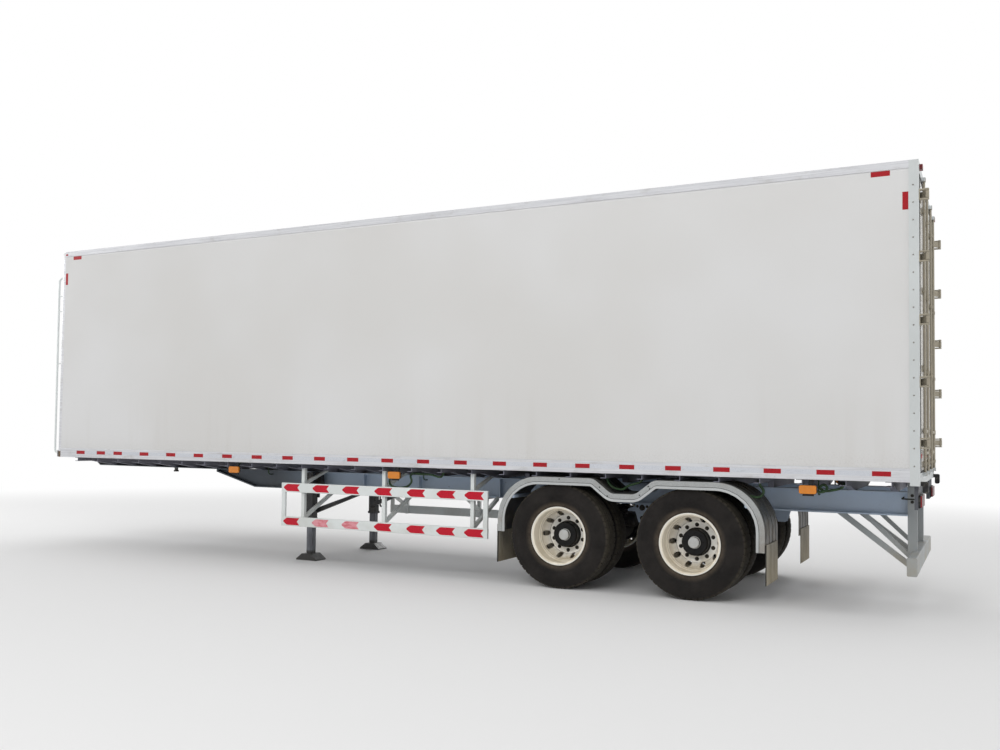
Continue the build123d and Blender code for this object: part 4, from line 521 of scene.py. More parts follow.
def disc_paint():
    """Cream wheel paint: bright rim, whitish about the nuts, painted shade in the rim well and at the steps,
    yellow dirt below, rust runs.
    """
    look = Finish("wheel_cream")
    radius = look.axle_distance()
    look.base(look.ramp(radius, 0.17, 0.26), "fbfbf8", "f8f0df")
    low = look.ramp(look.axis("Z"), 0.60, 0.28, 0.1, 0.9)
    look.layer(look.times(low, look.patches(9, 8, 0.32, 0.62, rough=0.7), 0.5), "b09c70")
    # painted shade: a darker ring in the rim well
    look.layer(look.times(look.within(radius, (0.225, 0.25), (0.283, 0.262)), 0.2), "5c5344")
    # painted shade: dark lines along the disc's steps
    for step in (0.2045, 0.2615):
        line = look.within(radius, (step - 0.004, step), (step + 0.004, step))
        look.layer(look.times(line, 0.5), "4a4337")
    look.layer(look.ramp(radius, 0.284, 0.289), "e8e5db")
    look.layer(look.patches(30, 6, 0.64, 0.72, 0, 0.4, rough=0.75), "6a4a2c")
    look.roughness(look.patches(25, 4, 0.2, 0.8, 0.32, 0.55))
    look.bump(look.noise(120, 3), 0.0004, 0.6)
    return look


def fender_sheet():
    """Dark dusty sheet with a light grey band round its outer edge and mud thrown at its ends."""
    look = Finish("fender_sheet")
    dust = look.patches(6, 8, 0.4, 0.68, 0, 0.6, stretch=(0.6, 1, 1), rough=0.7)
    look.base(dust, "3c3e3e", "6d6a63")
    band = look.mix(look.patches(110, 5, 0.35, 0.65, rough=0.7), "979a9a", "adafae")
    band = look.mix(look.patches(9, 6, 0.5, 0.72, 0, 0.35), band, "8f8d87")
    look.layer(look.ramp(look.outwards(), 1.247, 1.2515), band)
    low = look.ramp(look.axis("Z"), 0.95, 0.5)
    look.layer(look.times(low, look.patches(8, 7, 0.4, 0.65), 0.55), "83786a")
    look.roughness(look.ramp(dust, 0, 0.6, 0.42, 0.7))
    look.bump(look.noise(70, 4), 0.0008, 0.5)
    return look


def flap_rubber():
    """Fabric reinforced rubber: fine weave, dried mud in streaks and a darker edge strip."""
    look = Finish("flap_rubber")
    mud = look.patches(5, 8, 0.32, 0.62, 0.25, 0.95, stretch=(1, 1, 0.35), rough=0.7)
    look.base(mud, "6b665c", "a59f91")
    look.layer(look.ramp(look.axis("Z"), 0.62, 0.25, 0, 0.35), "8f8060")
    look.layer(look.ramp(look.outwards(), 1.226, 1.230), "33312d")
    look.roughness(0.85)
    weave = look.times(look.wave(look.axis("Z"), 1400.0), look.wave(look.axis("Y"), 1400.0))
    look.bump(weave, 0.0004, 0.5)
    look.bump(look.noise(40, 5), 0.0012, 0.5)
    return look


def plain_rubber(name, colour):
    """Moulded rubber with dust in its pores."""
    look = Finish(name)
    look.base(look.patches(24, 7, 0.45, 0.7, 0, 0.4, rough=0.7), colour, "7d766a")
    look.roughness(look.patches(30, 3, 0.2, 0.8, 0.6, 0.8))
    look.bump(look.noise(120, 3), 0.0006, 0.6)
    return look


def lens(name, colour, deep):
    """Lamp plastic with upright prisms inside and a clear glossy face."""
    look = Finish(name, coat=0.2, coat_roughness=0.05, specular=0.4)
    prisms = look.maths("ADD", look.wave(look.axis("X"), 620.0), look.wave(look.axis("Y"), 620.0))
    look.base(look.ramp(prisms, -1.4, 1.4), deep, colour)
    look.layer(look.patches(30, 6, 0.5, 0.75, 0, 0.25, rough=0.7), "8e8676")
    look.roughness(0.22)
    look.bump(prisms, 0.0012, 0.4)
    return look


def reflective_tape(name, colour, dark, fade=None):
    """Retroreflective sheet with honeycomb lines and scuffs; a fade is a colour and its span in x."""
    look = Finish(name, coat=0.08, coat_roughness=0.12, specular=0.3)
    comb = look.cells(230, "DISTANCE_TO_EDGE")
    look.base(look.ramp(comb, 0, 0.12), dark, colour)
    scuffs = look.patches(16, 7, 0.55, 0.72, 0, 0.55, stretch=(0.4, 1, 1), rough=0.72)
    look.layer(scuffs, shade(dark, 0.75))
    if fade:
        pale, start, end = fade
        stretch = look.within(look.axis("X"), (start - 0.02, start + 0.02), (end + 0.02, end - 0.02))
        low = look.ramp(look.axis("Z"), 0.70, 0.66)
        worn = look.patches(22, 6, 0.35, 0.6, 0.45, 0.95, stretch=(0.5, 1, 1.5))
        look.layer(look.times(stretch, low, worn), pale)
    look.roughness(look.ramp(comb, 0, 0.12, 0.5, 0.34))
    look.bump(comb, 0.0002, 0.4)
    return look


def greased_steel():
    """Turned steel under smeared dark grease."""
    look = Finish("kingpin_steel", metallic=0.9)
    smears = look.patches(18, 5, 0.35, 0.65, stretch=(1, 1, 2.5))
    look.base(smears, "6a6865", "1f1b16")
    look.roughness(look.ramp(smears, 0, 1.0, 0.28, 0.6))
    look.bump(look.wave(look.axis("Z"), 3200.0), 0.0001, 0.5)
    return look


def landing_leg_paint():
    """Black paint, worn to bare grey on the lower tubes and feet."""
    look = Finish("leg_paint")
    scratches = look.patches(20, 6, 0.4, 0.6, 0.45, 1.0, stretch=(1, 1, 0.12), rough=0.7)
    look.base(look.patches(7, 8, 0.42, 0.7, 0, 0.5, rough=0.7), "1a1b1f", "4d493f")
    grey = look.mix(scratches, "34363c", "777a81")
    look.layer(look.times(look.ramp(look.axis("Z"), 0.50, 0.46), 0.85), grey)
    look.layer(look.times(look.ramp(look.axis("Z"), 0.13, 0.10), 0.9), "26231f")
    look.roughness(look.ramp(scratches, 0.4, 1.0, 0.5, 0.36))
    look.bump(look.noise(60, 4), 0.0006, 0.5)
    return look


def chassis_paint():
    """Weathered blue-grey paint, with painted shade that darkens it towards the front."""
    look = Finish("chassis_blue_grey")
    # painted light and shade: pale where the beams are lit towards the rear, dark towards the front where
    # they lie in shadow
    look.base(look.ramp(look.axis("X"), 2.3, 1.0), "4b535c", "b3c3d6")
    look.layer(look.patches(1.3, 4, 0.35, 0.7, 0, 0.18), "5d6671")
    look.weather("8f8a7e", dirt_top=1.3, dust=0.4, chips=0.7, gloss=0.40)
    return look


def lead_sheath():
    """Ribbed loom sheath: green along the sides, black behind the last axle, with dust in the ribs."""
    look = Finish("lead_sheath", specular=0.35)
    look.base(look.patches(18, 4, 0.35, 0.65), "17301a", "28482a")
    look.layer(look.ramp(look.axis("X"), -4.90, -4.95), "1c1c1d")
    dust = look.patches(26, 7, 0.42, 0.68, 0, 0.45, rough=0.7)
    look.layer(dust, "5f6a50")
    look.roughness(look.ramp(dust, 0, 0.45, 0.45, 0.8))
    look.bump(look.wave(look.maths("ADD", look.axis("X"), look.axis("Z")), 1600.0), 0.0008, 0.6)
    return look


FINISHES = {
    "white_panel": sandwich_panel(),
    "roof_skin": painted(
        "roof_white", "dddddd", dirt="918e8b", gloss=0.38, tone=0.95, dirt_top=9.0, dust=0.12
    ),
    "rail_metal": extruded_rail(),
    "frame_paint": painted("frame_grey", "ccd0d0", dust=0.5, chips=0.35),
    "deck_wood": deck_planks(),
    "chassis_paint": chassis_paint(),
    "galvanised": zinc_coated("galvanised_steel", "9c9585", 0.4, "b9ad94"),
    "black_paint": painted(
        "black_chassis", "1d1e22", dirt="6f6759", gloss=0.45, tone=0.8, dust=0.6, chips=0.4
    ),
    "white_paint": painted("guard_white", "dfe4e3", dirt="a59c8a", gloss=0.34, chips=0.25),
    "fender_sheet": fender_sheet(),
    "rubber": flap_rubber(),
    "wheel_paint": disc_paint(),
    "hub_metal": painted("hub_black", "090a0b", dirt="2c2924", gloss=0.34, tone=0.8, dust=0.2, specular=0.25),
    "tyre": tyre_rubber(),
    "red_lens": lens("red_lens", "94101a", "4a060c"),
    "amber_lens": lens("amber_lens", "f8a840", "cc741c"),
    "pin_steel": greased_steel(),
    "cross_member_paint": painted(
        "cross_member_grey", "7a7b88", dirt="87817a", gloss=0.5, tone=0.8, dust=0.5, chips=0.8
    ),
    "underride_paint": painted(
        "underride_grey", "9fa4a6", dirt="9c927d", gloss=0.42, tone=0.85,
        dirt_top=0.9, dust=0.9, chips=0.6,
    ),
    "leg_paint": landing_leg_paint(),
    "panel_dark": painted("lamp_panel_dark", "50535a", gloss=0.45, tone=0.85, dust=0.5),
    "lead_sheath": lead_sheath(),
    "gasket_rubber": plain_rubber("gasket_rubber", "17181a"),
    "tape_red": reflective_tape("tape_red", "b0101f", "7a0a14"),
    "tape_white": reflective_tape("tape_white", "d3d6dc", "b4b8c0"),
    "arrow_red": reflective_tape("arrow_red", "cb0628", "960a1e", fade=("dd9aa2", 0.42, 1.10)),
    "bolt_zinc": zinc_coated("bolt_zinc", "8f8d86", 0.75),
    "nut_dark": painted("nut_dark", "24221e", dirt="4c4536", gloss=0.5, tone=0.75, dust=0.8, metallic=0.3),
    "fender_lip": painted("fender_lip_grey", "bcbfbf", gloss=0.36, dust=0.3, chips=0.2),
    "cap_grey": painted("hub_cap_grey", "c4c6c7", dirt="8d8676", gloss=0.36, dust=0.5),
    "cap_red": painted("coupling_red", "9c1b1b", gloss=0.4, dirt_top=2.0),
    "cap_yellow": painted("coupling_yellow", "d0a01e", gloss=0.4, dirt_top=2.0),
    "bezel_black": plain_rubber("bezel_black", "141416"),
}
NODE_FINISHES = {
    "cross_members": "cross_member_paint",
    "rear_underride_guard": "underride_paint",
    "landing_legs": "leg_paint",
    "landing_gear_braces": "leg_paint",
    "lamp_panels": "panel_dark",
    "lamp_leads": "lead_sheath",
    "rear_buffers": "gasket_rubber",
}
for subpart in frame["record"]["subparts"]:
    finish = NODE_FINISHES.get(subpart["node"], subpart["material_slot"])
    for slot in nodes[subpart["node"]].material_slots:
        slot.material = FINISHES[finish].material


def row(first, pitch, count):
    """Evenly spaced places."""
    return [first + pitch * index for index in range(count)]


def circle(place, axis, radius, sides):
    """Points of a circle round an axis."""
    across = axis.orthogonal().normalized()
    up = axis.cross(across)
    angles = [2 * pi * i / sides for i in range(sides)]
    return [place + radius * (cos(angle) * across + sin(angle) * up) for angle in angles]


def rectangle(u_span, v_span, corner=0.0):
    """Corners of a rectangle in a plane, cut off by a length, in order."""
    (u0, u1), (v0, v1) = u_span, v_span
    if not corner:
        return [(u0, v0), (u1, v0), (u1, v1), (u0, v1)]
    return [
        (u0 + corner, v0), (u1 - corner, v0), (u1, v0 + corner), (u1, v1 - corner),
        (u1 - corner, v1), (u0 + corner, v1), (u0, v1 - corner), (u0, v0 + corner),
    ]


def framed(u, v, sizes):
    """The outer and the inner rectangle of a frame about a point."""
    return [rectangle((u - long, u + long), (v - tall, v + tall), corner) for long, tall, corner in sizes]


def on_side(outline, side, y):
    """An outline in x and z, on a plane that looks to a side."""
    return [(x, side * y, z) for x, z in outline]


def on_end(outline, x, side=1):
    """An outline in y and z, on a plane that looks to the front or the rear."""
    return [(x, side * y, z) for y, z in outline]


def off_axle(axle_x, y, radius, angle):
    """The point at a distance and an angle from an axle's line."""
    return (axle_x + radius * cos(angle), y, WHEEL_RADIUS + radius * sin(angle))


class Shape:
    """A mesh under construction, in the part's frame."""

    def __init__(self):
        self.mesh = bmesh.new()

    def skin(self, rings, closed=False):
        """Walls from ring to ring of points, with both ends covered, or joined end to end when closed."""
        rows = [[self.mesh.verts.new(point) for point in ring] for ring in rings]
        pairs = list(zip(rows, rows[1:]))
        if closed:
            pairs.append((rows[-1], rows[0]))
        else:
            self.mesh.faces.new(rows[0][::-1])
            self.mesh.faces.new(rows[-1])
        for first, second in pairs:
            for i, point in enumerate(first):
                j = (i + 1) % len(first)
                self.mesh.faces.new((point, first[j], second[j], second[i]))

    def turned(self, place, axis, profile, sides, scale=1.0):
        """A solid of rings, each at a distance along the axis and with a radius, all scaled alike."""
        start = Vector(place)
        way = Vector(axis).normalized()
        self.skin([circle(start + run * scale * way, way, radius * scale, sides) for run, radius in profile])

    def raised(self, outline, lift, bevel):
        """A plate that rises by a vector from its outline, with a bevel round the far edge."""
        points = [Vector(point) for point in outline]
        middle = sum(points, Vector()) / len(points)
        shoulder = lift * (1 - bevel / lift.length)
        inset = [point + (middle - point).normalized() * bevel + lift for point in points]
        self.skin([points, [point + shoulder for point in points], inset])

    def strip(self, outline, way, thickness=TAPE_THICKNESS):
        """A thin strip stuck on a face that looks along a way."""
        self.raised(outline, thickness * way, thickness / 3)

    def band(self, outlines, lift):
        """A flat frame between an outer and an inner outline, risen by a vector."""
        outer, inner = [[Vector(point) for point in outline] for outline in outlines]
        self.skin([outer, [p + lift for p in outer], [p + lift for p in inner], inner], closed=True)

    def rivet(self, place, axis, radius):
        """A domed rivet head."""
        self.turned(place, axis, RIVET_PROFILE, 10, radius)

    def bolt(self, place, axis, radius, washer=1.5):
        """A washer with a chamfered hexagon head on it."""
        self.turned(place, axis, ((0, washer), (WASHER_HEIGHT, washer)), 14, radius)
        self.turned(place, axis, HEAD_PROFILE, 6, radius)

    def nut(self, place, axis, radius, stud):
        """A bolt head that a stud's end stands out of."""
        self.bolt(place, axis, radius)
        wide = STUD_WIDTH * radius
        profile = ((STUD_START * radius, wide), (stud - STUD_CHAMFER, wide), (stud, STUD_END_WIDTH * radius))
        self.turned(place, axis, profile, 10)

    def piece(self, name, finish, body="chassis", smooth_below=35):
        """The finished mesh, as a piece that rides on a body."""
        bmesh.ops.recalc_face_normals(self.mesh, faces=self.mesh.faces)
        data = bpy.data.meshes.new(name)
        self.mesh.to_mesh(data)
        self.mesh.free()
        data.materials.append(FINISHES[finish].material)
        data.shade_smooth()
        data.set_sharp_from_angle(angle=radians(smooth_below))
        made = added_object(name, data)
        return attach(made, body)


def added_object(name, data):
    """A new object in the scene."""
    made = bpy.data.objects.new(name, data)
    bpy.context.collection.objects.link(made)
    return made


def tyre_section():
    """The tyre's section from bead to bead: distance from the middle, radius, part."""
    half = []
    for part, points in (("wall", TYRE_WALL), ("shoulder", TYRE_SHOULDER), ("groove", TYRE_GROOVES)):
        half += [(offset, radius, part) for offset, radius in points]
    mirrored = [(-offset, radius, part) for offset, radius, part in half[::-1]]
    return half + [(0.0, WHEEL_RADIUS, "rib")] + mirrored


def tyre_rings(axle_x, middle_y):
    """The section at each angle round the wheel, with slots in the shoulders and a zigzag in the grooves."""
    section = tyre_section()
    rings = []
    for pitch in range(TREAD_PITCHES):
        for step in PITCH_STEPS:
            angle = 2 * pi * (pitch + step) / TREAD_PITCHES
            from_peak = min(abs(step - ZIGZAG_PEAK), 1 - abs(step - ZIGZAG_PEAK))
            sway = ZIGZAG * (1 - 4 * from_peak)
            ring = []
            for offset, radius, part in section:
                if part == "shoulder" and step in SLOT_STEPS:
                    radius -= SLOT_DEPTH
                if part == "groove":
                    offset += sway
                ring.append(off_axle(axle_x, middle_y + offset, radius, angle))
            rings.append(ring)
    return rings


def bolt_circle(axle_x, y, radius, count, first_angle):
    """Places at even angles round an axle."""
    return [off_axle(axle_x, y, radius, radians(angle)) for angle in row(first_angle, 360 / count, count)]


def wheel_pieces(axle, hand, side):
    """Tyres, nuts, hub bolts, valves and cap of one wheel set."""
    wheel = f"{axle}_{hand}"
    body = f"{wheel}_wheel_set"
    axle_x = AXLE_X[axle]
    outwards = (0, side, 0)

    tyres = Shape()
    for middle in TYRE_MIDDLES:
        tyres.skin(tyre_rings(axle_x, side * middle), closed=True)
    treaded = tyres.piece(f"{wheel}_tread_tyres", "tyre", body, TYRE_SMOOTH_BELOW)
    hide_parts(f"{wheel}_tyres")

    nuts = Shape()
    for place in bolt_circle(axle_x, side * DISC_FACE_Y, *NUT_CIRCLE):
        nuts.nut(place, outwards, NUT_RADIUS, NUT_STUD)
    nuts.piece(f"{wheel}_wheel_nuts", "nut_dark", body)

    bolts = Shape()
    for place in bolt_circle(axle_x, side * HUB_END_Y, *HUB_BOLT_CIRCLE):
        bolts.bolt(place, outwards, HUB_BOLT_RADIUS)
    bolts.piece(f"{wheel}_hub_bolts", "hub_metal", body)

    valves = Shape()
    for height, start in VALVES:
        place = (axle_x, side * (DISC_FACE_Y + start), WHEEL_RADIUS + height)
        valves.turned(place, outwards, VALVE_PROFILE, 10)
    valves.piece(f"{wheel}_valves", "bolt_zinc", body)

    cap = Shape()
    cap.turned((axle_x, side * (HUB_END_Y + CAP_GAP), WHEEL_RADIUS), outwards, CAP_PROFILE, 48)
    cap.piece(f"{wheel}_hub_cap", "cap_grey", body)


def side_pieces(hand, side):
    """Tapes, arrows, rivets and lamp rims on one side."""
    outwards = Vector((0, side, 0))
    middles = row(*TAPE_ROW) + list(TAPE_EXTRA_X)
    starts = [middle - TAPE_HALF_LENGTH for middle in middles]
    ends = [middle + TAPE_HALF_LENGTH for middle in middles]
    reds = [(x_span, TAPE_Z, SIDE_Y) for x_span in zip(starts, ends)] + list(CORNER_TAPES)
    gaps = zip(ends, starts[1:])
    whites = [((first + TAPE_JOINT, last - TAPE_JOINT), TAPE_Z, SIDE_Y) for first, last in gaps]
    for colour, slot, tapes in (("red", "red_lens", reds), ("white", "white_paint", whites)):
        strips = Shape()
        for x_span, z_span, face_y in tapes:
            strips.strip(on_side(rectangle(x_span, z_span), side, face_y), outwards)
        strips.piece(f"{hand}_{colour}_tapes", f"tape_{colour}")

    arrows = Shape()
    outline = list(ARROW_HALF) + [(x, -z) for x, z in ARROW_HALF[-2::-1]]
    for rail_z in GUARD_RAIL_HEIGHTS:
        for middle in ARROW_X:
            arrow = [(middle + x, rail_z + z) for x, z in outline]
            arrows.strip(on_side(arrow, side, GUARD_FACE_Y), outwards)
    arrows.piece(f"{hand}_guard_arrows", "arrow_red")

    post_rivets = Shape()
    for z in row(*POST_RIVET_ROW):
        post_rivets.rivet((POST_RIVET_X, side * SIDE_Y, z), outwards, POST_RIVET_RADIUS)
    post_rivets.piece(f"{hand}_post_rivets", "bolt_zinc")

    rail_rivets = Shape()
    for x in row(*RAIL_RIVET_ROW):
        for z in RAIL_RIVET_HEIGHTS:
            rail_rivets.rivet((x, side * SIDE_Y, z), outwards, RAIL_RIVET_RADIUS)
    rail_rivets.piece(f"{hand}_rail_rivets", "rail_metal")

    rims = Shape()
    for x in SIDE_LAMP_X:
        outlines = framed(x, SIDE_LAMP_Z, SIDE_LAMP_RIM)
        outlines = [on_side(outline, side, SIDE_LAMP_BACK_Y) for outline in outlines]
        rims.band(outlines, SIDE_LAMP_RIM_DEPTH * outwards)
    rims.piece(f"{hand}_lamp_rims", "bezel_black")


def rounded_line(corners, radii):
    """Points along a line whose corners are arcs."""
    corners = [Vector(corner) for corner in corners]
    points = [corners[0]]
    for before, corner, after, radius in zip(corners, corners[1:], corners[2:], radii):
        back = (before - corner).normalized()
        on = (after - corner).normalized()
        half_angle = back.angle(on) / 2
        middle = corner + (back + on).normalized() * radius / sin(half_angle)
        start = corner + back * radius / tan(half_angle)
        end = corner + on * radius / tan(half_angle)
        for step in range(ARC_STEPS + 1):
            points.append(middle + (start.lerp(end, step / ARC_STEPS) - middle).normalized() * radius)
    return points + [corners[-1]]


def fender_pieces(hand, side):
    """A dark line of painted shadow and a raised lip along a fender's band, and its screws."""
    line = rounded_line(FENDER_LINE, FENDER_RADII)
    ways = [after - before for before, after in zip(line, line[1:])]
    ways = [ways[0]] + [(a.normalized() + b.normalized()) / 2 for a, b in zip(ways, ways[1:])] + [ways[-1]]
    inwards = [Vector((-way.y, way.x)).normalized() for way in ways]
    for name, finish, slot, (near, far), thickness in FENDER_STRIPS:
        section = ((near, 0), (near, thickness), (far, thickness), (far, 0))
        rings = []
        for point, way in zip(line, inwards):
            ring = []
            for distance, lift in section:
                x, z = point + way * distance
                ring.append((x, side * (FENDER_FACE_Y + lift), z))
            rings.append(ring)
        strip = Shape()
        strip.skin(rings)
        strip.piece(f"{hand}_fender_{name}", finish)

    screws = Shape()
    for x, z in FENDER_SCREWS:
        screws.bolt((x, side * FENDER_FACE_Y, z), (0, side, 0), FENDER_SCREW_RADIUS)
    screws.piece(f"{hand}_fender_screws", "nut_dark")


def loom_pieces(hand, side):
    """Short stretches of loom, held at both ends."""
    for name, points in LOOM_ROUTES.items():
        line = bpy.data.curves.new(f"{hand}_{name}_loom", "CURVE")
        line.dimensions = "3D"
        line.bevel_depth = LOOM_RADIUS
        line.bevel_resolution = 3
        line.resolution_u = 10
        line.use_fill_caps = True
        spline = line.splines.new("NURBS")
        spline.points.add(len(points) - 1)
        for point, (x, y, z) in zip(spline.points, points):
            point.co = (x, side * y, z, 1)
        spline.order_u = 3
        spline.use_endpoint_u = True
        line.materials.append(FINISHES["lead_sheath"].material)
        loom = added_object(line.name, line)
        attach(loom, "chassis")


def door_pieces(hand, side):
    """Gasket, hinge and guide bolts, and tape on one rear door."""
    body = f"{hand}_door"
    gasket = Shape()
    gasket.band([on_end(rectangle(*edge), GASKET_X, side) for edge in GASKET], GASKET_DEPTH * AFT)
    gasket.piece(f"{hand}_door_gasket", "gasket_rubber", body)

    bolts = Shape()
    for height in HINGE_HEIGHTS:
        for y in HINGE_BOLT_Y:
            bolts.bolt((HINGE_BLADE_X, side * y, height), AFT, HINGE_BOLT_RADIUS)
    for rod_y in ROD_PLACES:
        for height in GUIDE_HEIGHTS:
            for across in GUIDE_BOLT_ACROSS:
                bolts.bolt((GUIDE_PLATE_X, side * (rod_y + across), height), AFT, GUIDE_BOLT_RADIUS)
    bolts.piece(f"{hand}_door_bolts", "bolt_zinc", body)

    tapes = Shape()
    for middle in DOOR_TAPE_Y:
        y_span = sorted((side * (middle - DOOR_TAPE_HALF_LENGTH), side * (middle + DOOR_TAPE_HALF_LENGTH)))
        tapes.strip(on_end(rectangle(y_span, DOOR_TAPE_Z), REAR_X), AFT)
    tapes.piece(f"{hand}_door_tapes", "tape_red", body)


def tail_lamp_bezels():
    """Black frames round the tail lamps, with a screw above and below each."""
    bezels = Shape()
    screws = Shape()
    for side in SIDES.values():
        for y in TAIL_LAMP_Y:
            outlines = framed(y, TAIL_LAMP_Z, TAIL_LAMP_BEZEL)
            outlines = [on_end(outline, LAMP_PANEL_X, side) for outline in outlines]
            bezels.band(outlines, TAIL_LAMP_BEZEL_DEPTH * AFT)
            for z in TAIL_LAMP_SCREW_Z:
                screws.bolt((LAMP_PANEL_X, side * y, z), AFT, TAIL_LAMP_SCREW_RADIUS)
    bezels.piece("tail_lamp_bezels", "bezel_black")
    screws.piece("tail_lamp_screws", "bolt_zinc")


def chassis_bolts():
    """Nuts of the spring clamps, bolts and pins of the hangers, bolts of the legs and underride posts."""
    bolts = Shape()
    hanger_x = (AXLE_X["front"] + HANGER_REACH, AXLE_MIDDLE_X, AXLE_X["rear"] - HANGER_REACH)
    pivot_z, pivot_radius, pivot_washer = PIVOT_BOLT
    pin_z, pin_radius = SPRING_PIN
    for side in SIDES.values():
        outwards = (0, side, 0)
        for axle_x in AXLE_X.values():
            for along in CLAMP_ALONG:
                for across in CLAMP_ACROSS:
                    for height, way, stud in CLAMP_ENDS:
                        place = (axle_x + along, side * SPRING_Y + across, height)
                        bolts.nut(place, way * UP, CLAMP_NUT_RADIUS, stud)
        hanger_y = side * HANGER_FACE_Y
        bolts.bolt((AXLE_MIDDLE_X, hanger_y, pivot_z), outwards, pivot_radius, pivot_washer)
        for x in hanger_x:
            bolts.bolt((x, hanger_y, pin_z), outwards, pin_radius)
            for along in HANGER_BOLT_ALONG:
                bolts.bolt((x + along, hanger_y, HANGER_BOLT_Z), outwards, BOLT_RADIUS)
        for along in LEG_BOLT_ALONG:
            for height in LEG_BOLT_HEIGHTS:
                bolts.bolt((LEG_X + along, side * LEG_FACE_Y, height), outwards, BOLT_RADIUS)
        for height in UNDERRIDE_BOLT_HEIGHTS:
            bolts.bolt((UNDERRIDE_POST_X, side * UNDERRIDE_FACE_Y, height), outwards, BOLT_RADIUS)
    bolts.piece("chassis_bolts", "nut_dark")


def roof_joints():
    """Cover strips across the roof, with rivets along them."""
    strips = Shape()
    y_span = (-ROOF_STRIP_HALF_LENGTH, ROOF_STRIP_HALF_LENGTH)
    for x in row(*ROOF_STRIP_ROW):
        x_span = (x - ROOF_STRIP_HALF_WIDTH, x + ROOF_STRIP_HALF_WIDTH)
        outline = [(u, v, ROOF_TOP) for u, v in rectangle(x_span, y_span, ROOF_STRIP_CORNER)]
        strips.raised(outline, ROOF_STRIP_THICKNESS * UP, ROOF_STRIP_BEVEL)
        for y in row(*ROOF_RIVET_ROW):
            strips.rivet((x, y, ROOF_TOP + ROOF_STRIP_THICKNESS), UP, ROOF_RIVET_RADIUS)
    strips.piece("roof_joint_strips", "rail_metal")


def coupling_cover(shape, y, profile, lug):
    """A turned cover on the coupling panel, with a lug above it."""
    half_width, (low, high), corner, lug_x, depth = lug
    shape.turned((COUPLING_FACE_X, y, COUPLING_Z), FORE, profile, 28)
    outline = rectangle((y - half_width, y + half_width), (COUPLING_Z + low, COUPLING_Z + high), corner)
    shape.raised(on_end(outline, lug_x), depth * FORE, LUG_BEVEL)


def front_fittings():
    """Sill over the floor's edge, rivets on the front corner posts, and the covers of the couplings."""
    sill = Shape()
    low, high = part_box("floor")
    y_span = (low.y + FRONT_SILL_MARGIN, high.y - FRONT_SILL_MARGIN)
    z_span = (low.z + FRONT_SILL_MARGIN, high.z + FRONT_SILL_LAP)
    outline = on_end(rectangle(y_span, z_span, FRONT_SILL_MARGIN), FRONT_X)
    sill.strip(outline, FORE, FRONT_SILL_THICKNESS)
    for y in row(*SILL_RIVET_ROW):
        sill.rivet((FRONT_X + FRONT_SILL_THICKNESS, y, SILL_RIVET_Z), FORE, FRONT_RIVET_RADIUS)
    sill.piece("front_sill_trim", "rail_metal")

    rivets = Shape()
    for side in SIDES.values():
        for z in row(*FRONT_RIVET_ROW):
            rivets.rivet((FRONT_X, side * FRONT_RIVET_Y, z), FORE, FRONT_RIVET_RADIUS)
    rivets.piece("front_post_rivets", "rail_metal")

    for y, hand, finish, slot in AIR_COUPLINGS:
        cover = Shape()
        coupling_cover(cover, y, AIR_PROFILE, AIR_LUG)
        cover.piece(f"air_coupling_{hand}", finish)
    sockets = Shape()
    for y in SOCKET_Y:
        coupling_cover(sockets, y, SOCKET_PROFILE, SOCKET_LUG)
    sockets.piece("electric_sockets", "bezel_black")
    screws = Shape()
    for y in PANEL_SCREW_Y:
        for z in PANEL_SCREW_Z:
            screws.bolt((PANEL_SCREW_X, y, z), FORE, PANEL_SCREW_RADIUS)
    screws.piece("coupling_panel_screws", "bolt_zinc")


def photo_camera():
    """The camera at the photograph's place, turned and shifted as solved."""
    forward = Vector((
        sin(CAMERA_YAW) * cos(CAMERA_PITCH),
        -cos(CAMERA_YAW) * cos(CAMERA_PITCH),
        sin(CAMERA_PITCH),
    ))
    right = forward.cross(UP).normalized()
    up = right.cross(forward)
    rolled_right = cos(CAMERA_ROLL) * right + sin(CAMERA_ROLL) * up
    rolled_up = cos(CAMERA_ROLL) * up - sin(CAMERA_ROLL) * right
    camera = added_object("camera", bpy.data.cameras.new("camera"))
    camera.data.sensor_width = SENSOR_WIDTH
    camera.data.lens = FOCAL_PIXELS / IMAGE_SIZE[0] * SENSOR_WIDTH
    camera.data.shift_x = (IMAGE_SIZE[0] / 2 - PRINCIPAL_POINT[0]) / IMAGE_SIZE[0]
    camera.data.shift_y = (PRINCIPAL_POINT[1] - IMAGE_SIZE[1] / 2) / IMAGE_SIZE[0]
    camera.data.clip_end = CAMERA_RANGE
    turn = Matrix((rolled_right, rolled_up, -forward)).transposed()
    camera.matrix_world = Matrix.Translation(CAMERA_PLACE) @ turn.to_4x4()
    bpy.context.scene.camera = camera


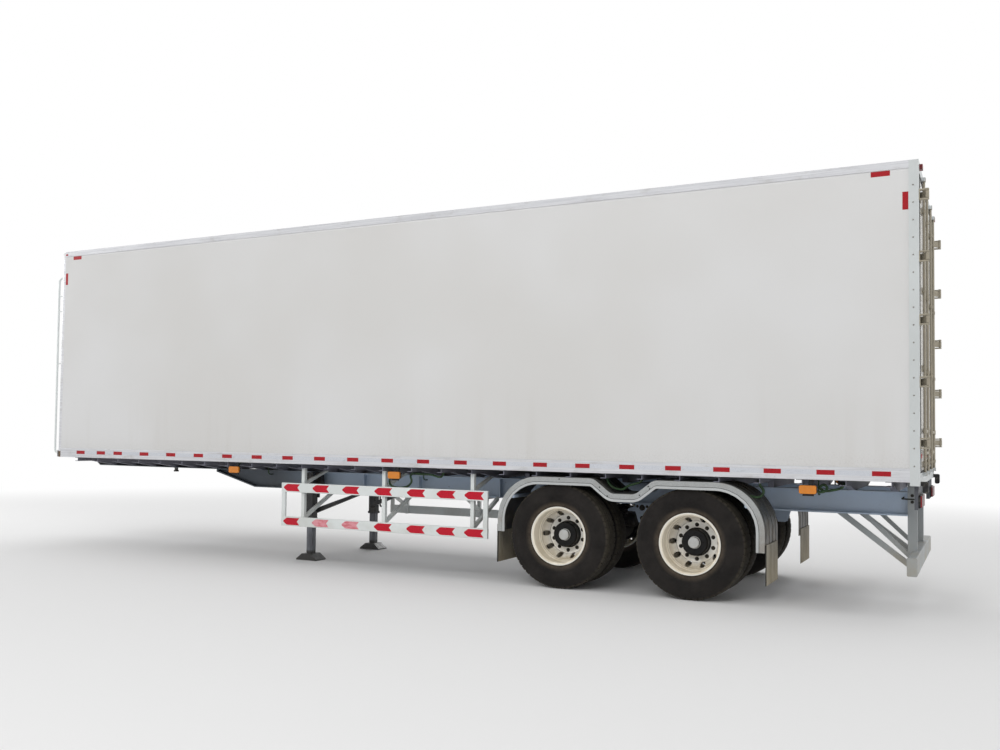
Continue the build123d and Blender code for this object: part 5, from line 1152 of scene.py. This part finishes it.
def area_light(name, place, target, size, power, glossy):
    """A soft rectangular light that is aimed at a target."""
    light = added_object(name, bpy.data.lights.new(name, "AREA"))
    light.data.shape = "RECTANGLE"
    light.data.size, light.data.size_y = size
    light.data.energy = power
    light.location = place
    aim = Vector(target) - Vector(place)
    light.rotation_euler = aim.to_track_quat("-Z", "Y").to_euler()
    light.visible_glossy = glossy


def studio():
    """A pale floor that fades into a white surround, and soft light."""
    bpy.ops.mesh.primitive_plane_add(size=FLOOR_SIZE, location=(0, 0, 0))
    floor = bpy.context.object
    floor.name = "studio_floor"
    look = Finish("floor_pale")
    look.feed(FLOOR_GREY, look.bsdf.inputs["Base Color"])
    look.roughness(0.8)
    white = look.add("Emission", {"Color": WHITE})
    distance = look.add("VectorMath", {0: look.place}, operation="LENGTH")
    far = look.ramp(distance.outputs["Value"], *FLOOR_FADE)
    rays = look.add("LightPath", {})
    seen = look.times(far, rays.outputs["Is Camera Ray"])
    look.show(seen, look.bsdf, white, "Material Output")
    floor.data.materials.append(look.material)

    world = bpy.data.worlds.new("studio")
    world.use_nodes = True
    bpy.context.scene.world = world
    sky = NodeTree(world.node_tree)
    soft = sky.tree.nodes["Background"]
    sky.feed(WHITE, soft.inputs["Color"])
    sky.feed(SURROUND_LIGHT, soft.inputs["Strength"])
    shown = sky.add("Background", {"Color": WHITE, "Strength": 1.0})
    rays = sky.add("LightPath", {})
    seen = rays.outputs["Is Camera Ray"]
    for kind in ("Is Glossy Ray", "Is Transmission Ray"):
        seen = sky.maths("MAXIMUM", seen, rays.outputs[kind])
    sky.show(seen, soft, shown, "World Output")

    for light in LIGHTS:
        area_light(*light)
    bpy.context.scene.view_settings.view_transform = "Standard"


photo_camera()
for hand, side in SIDES.items():
    for axle in AXLE_X:
        wheel_pieces(axle, hand, side)
    side_pieces(hand, side)
    fender_pieces(hand, side)
    loom_pieces(hand, side)
    door_pieces(hand, side)
tail_lamp_bezels()
chassis_bolts()
roof_joints()
front_fittings()
studio()
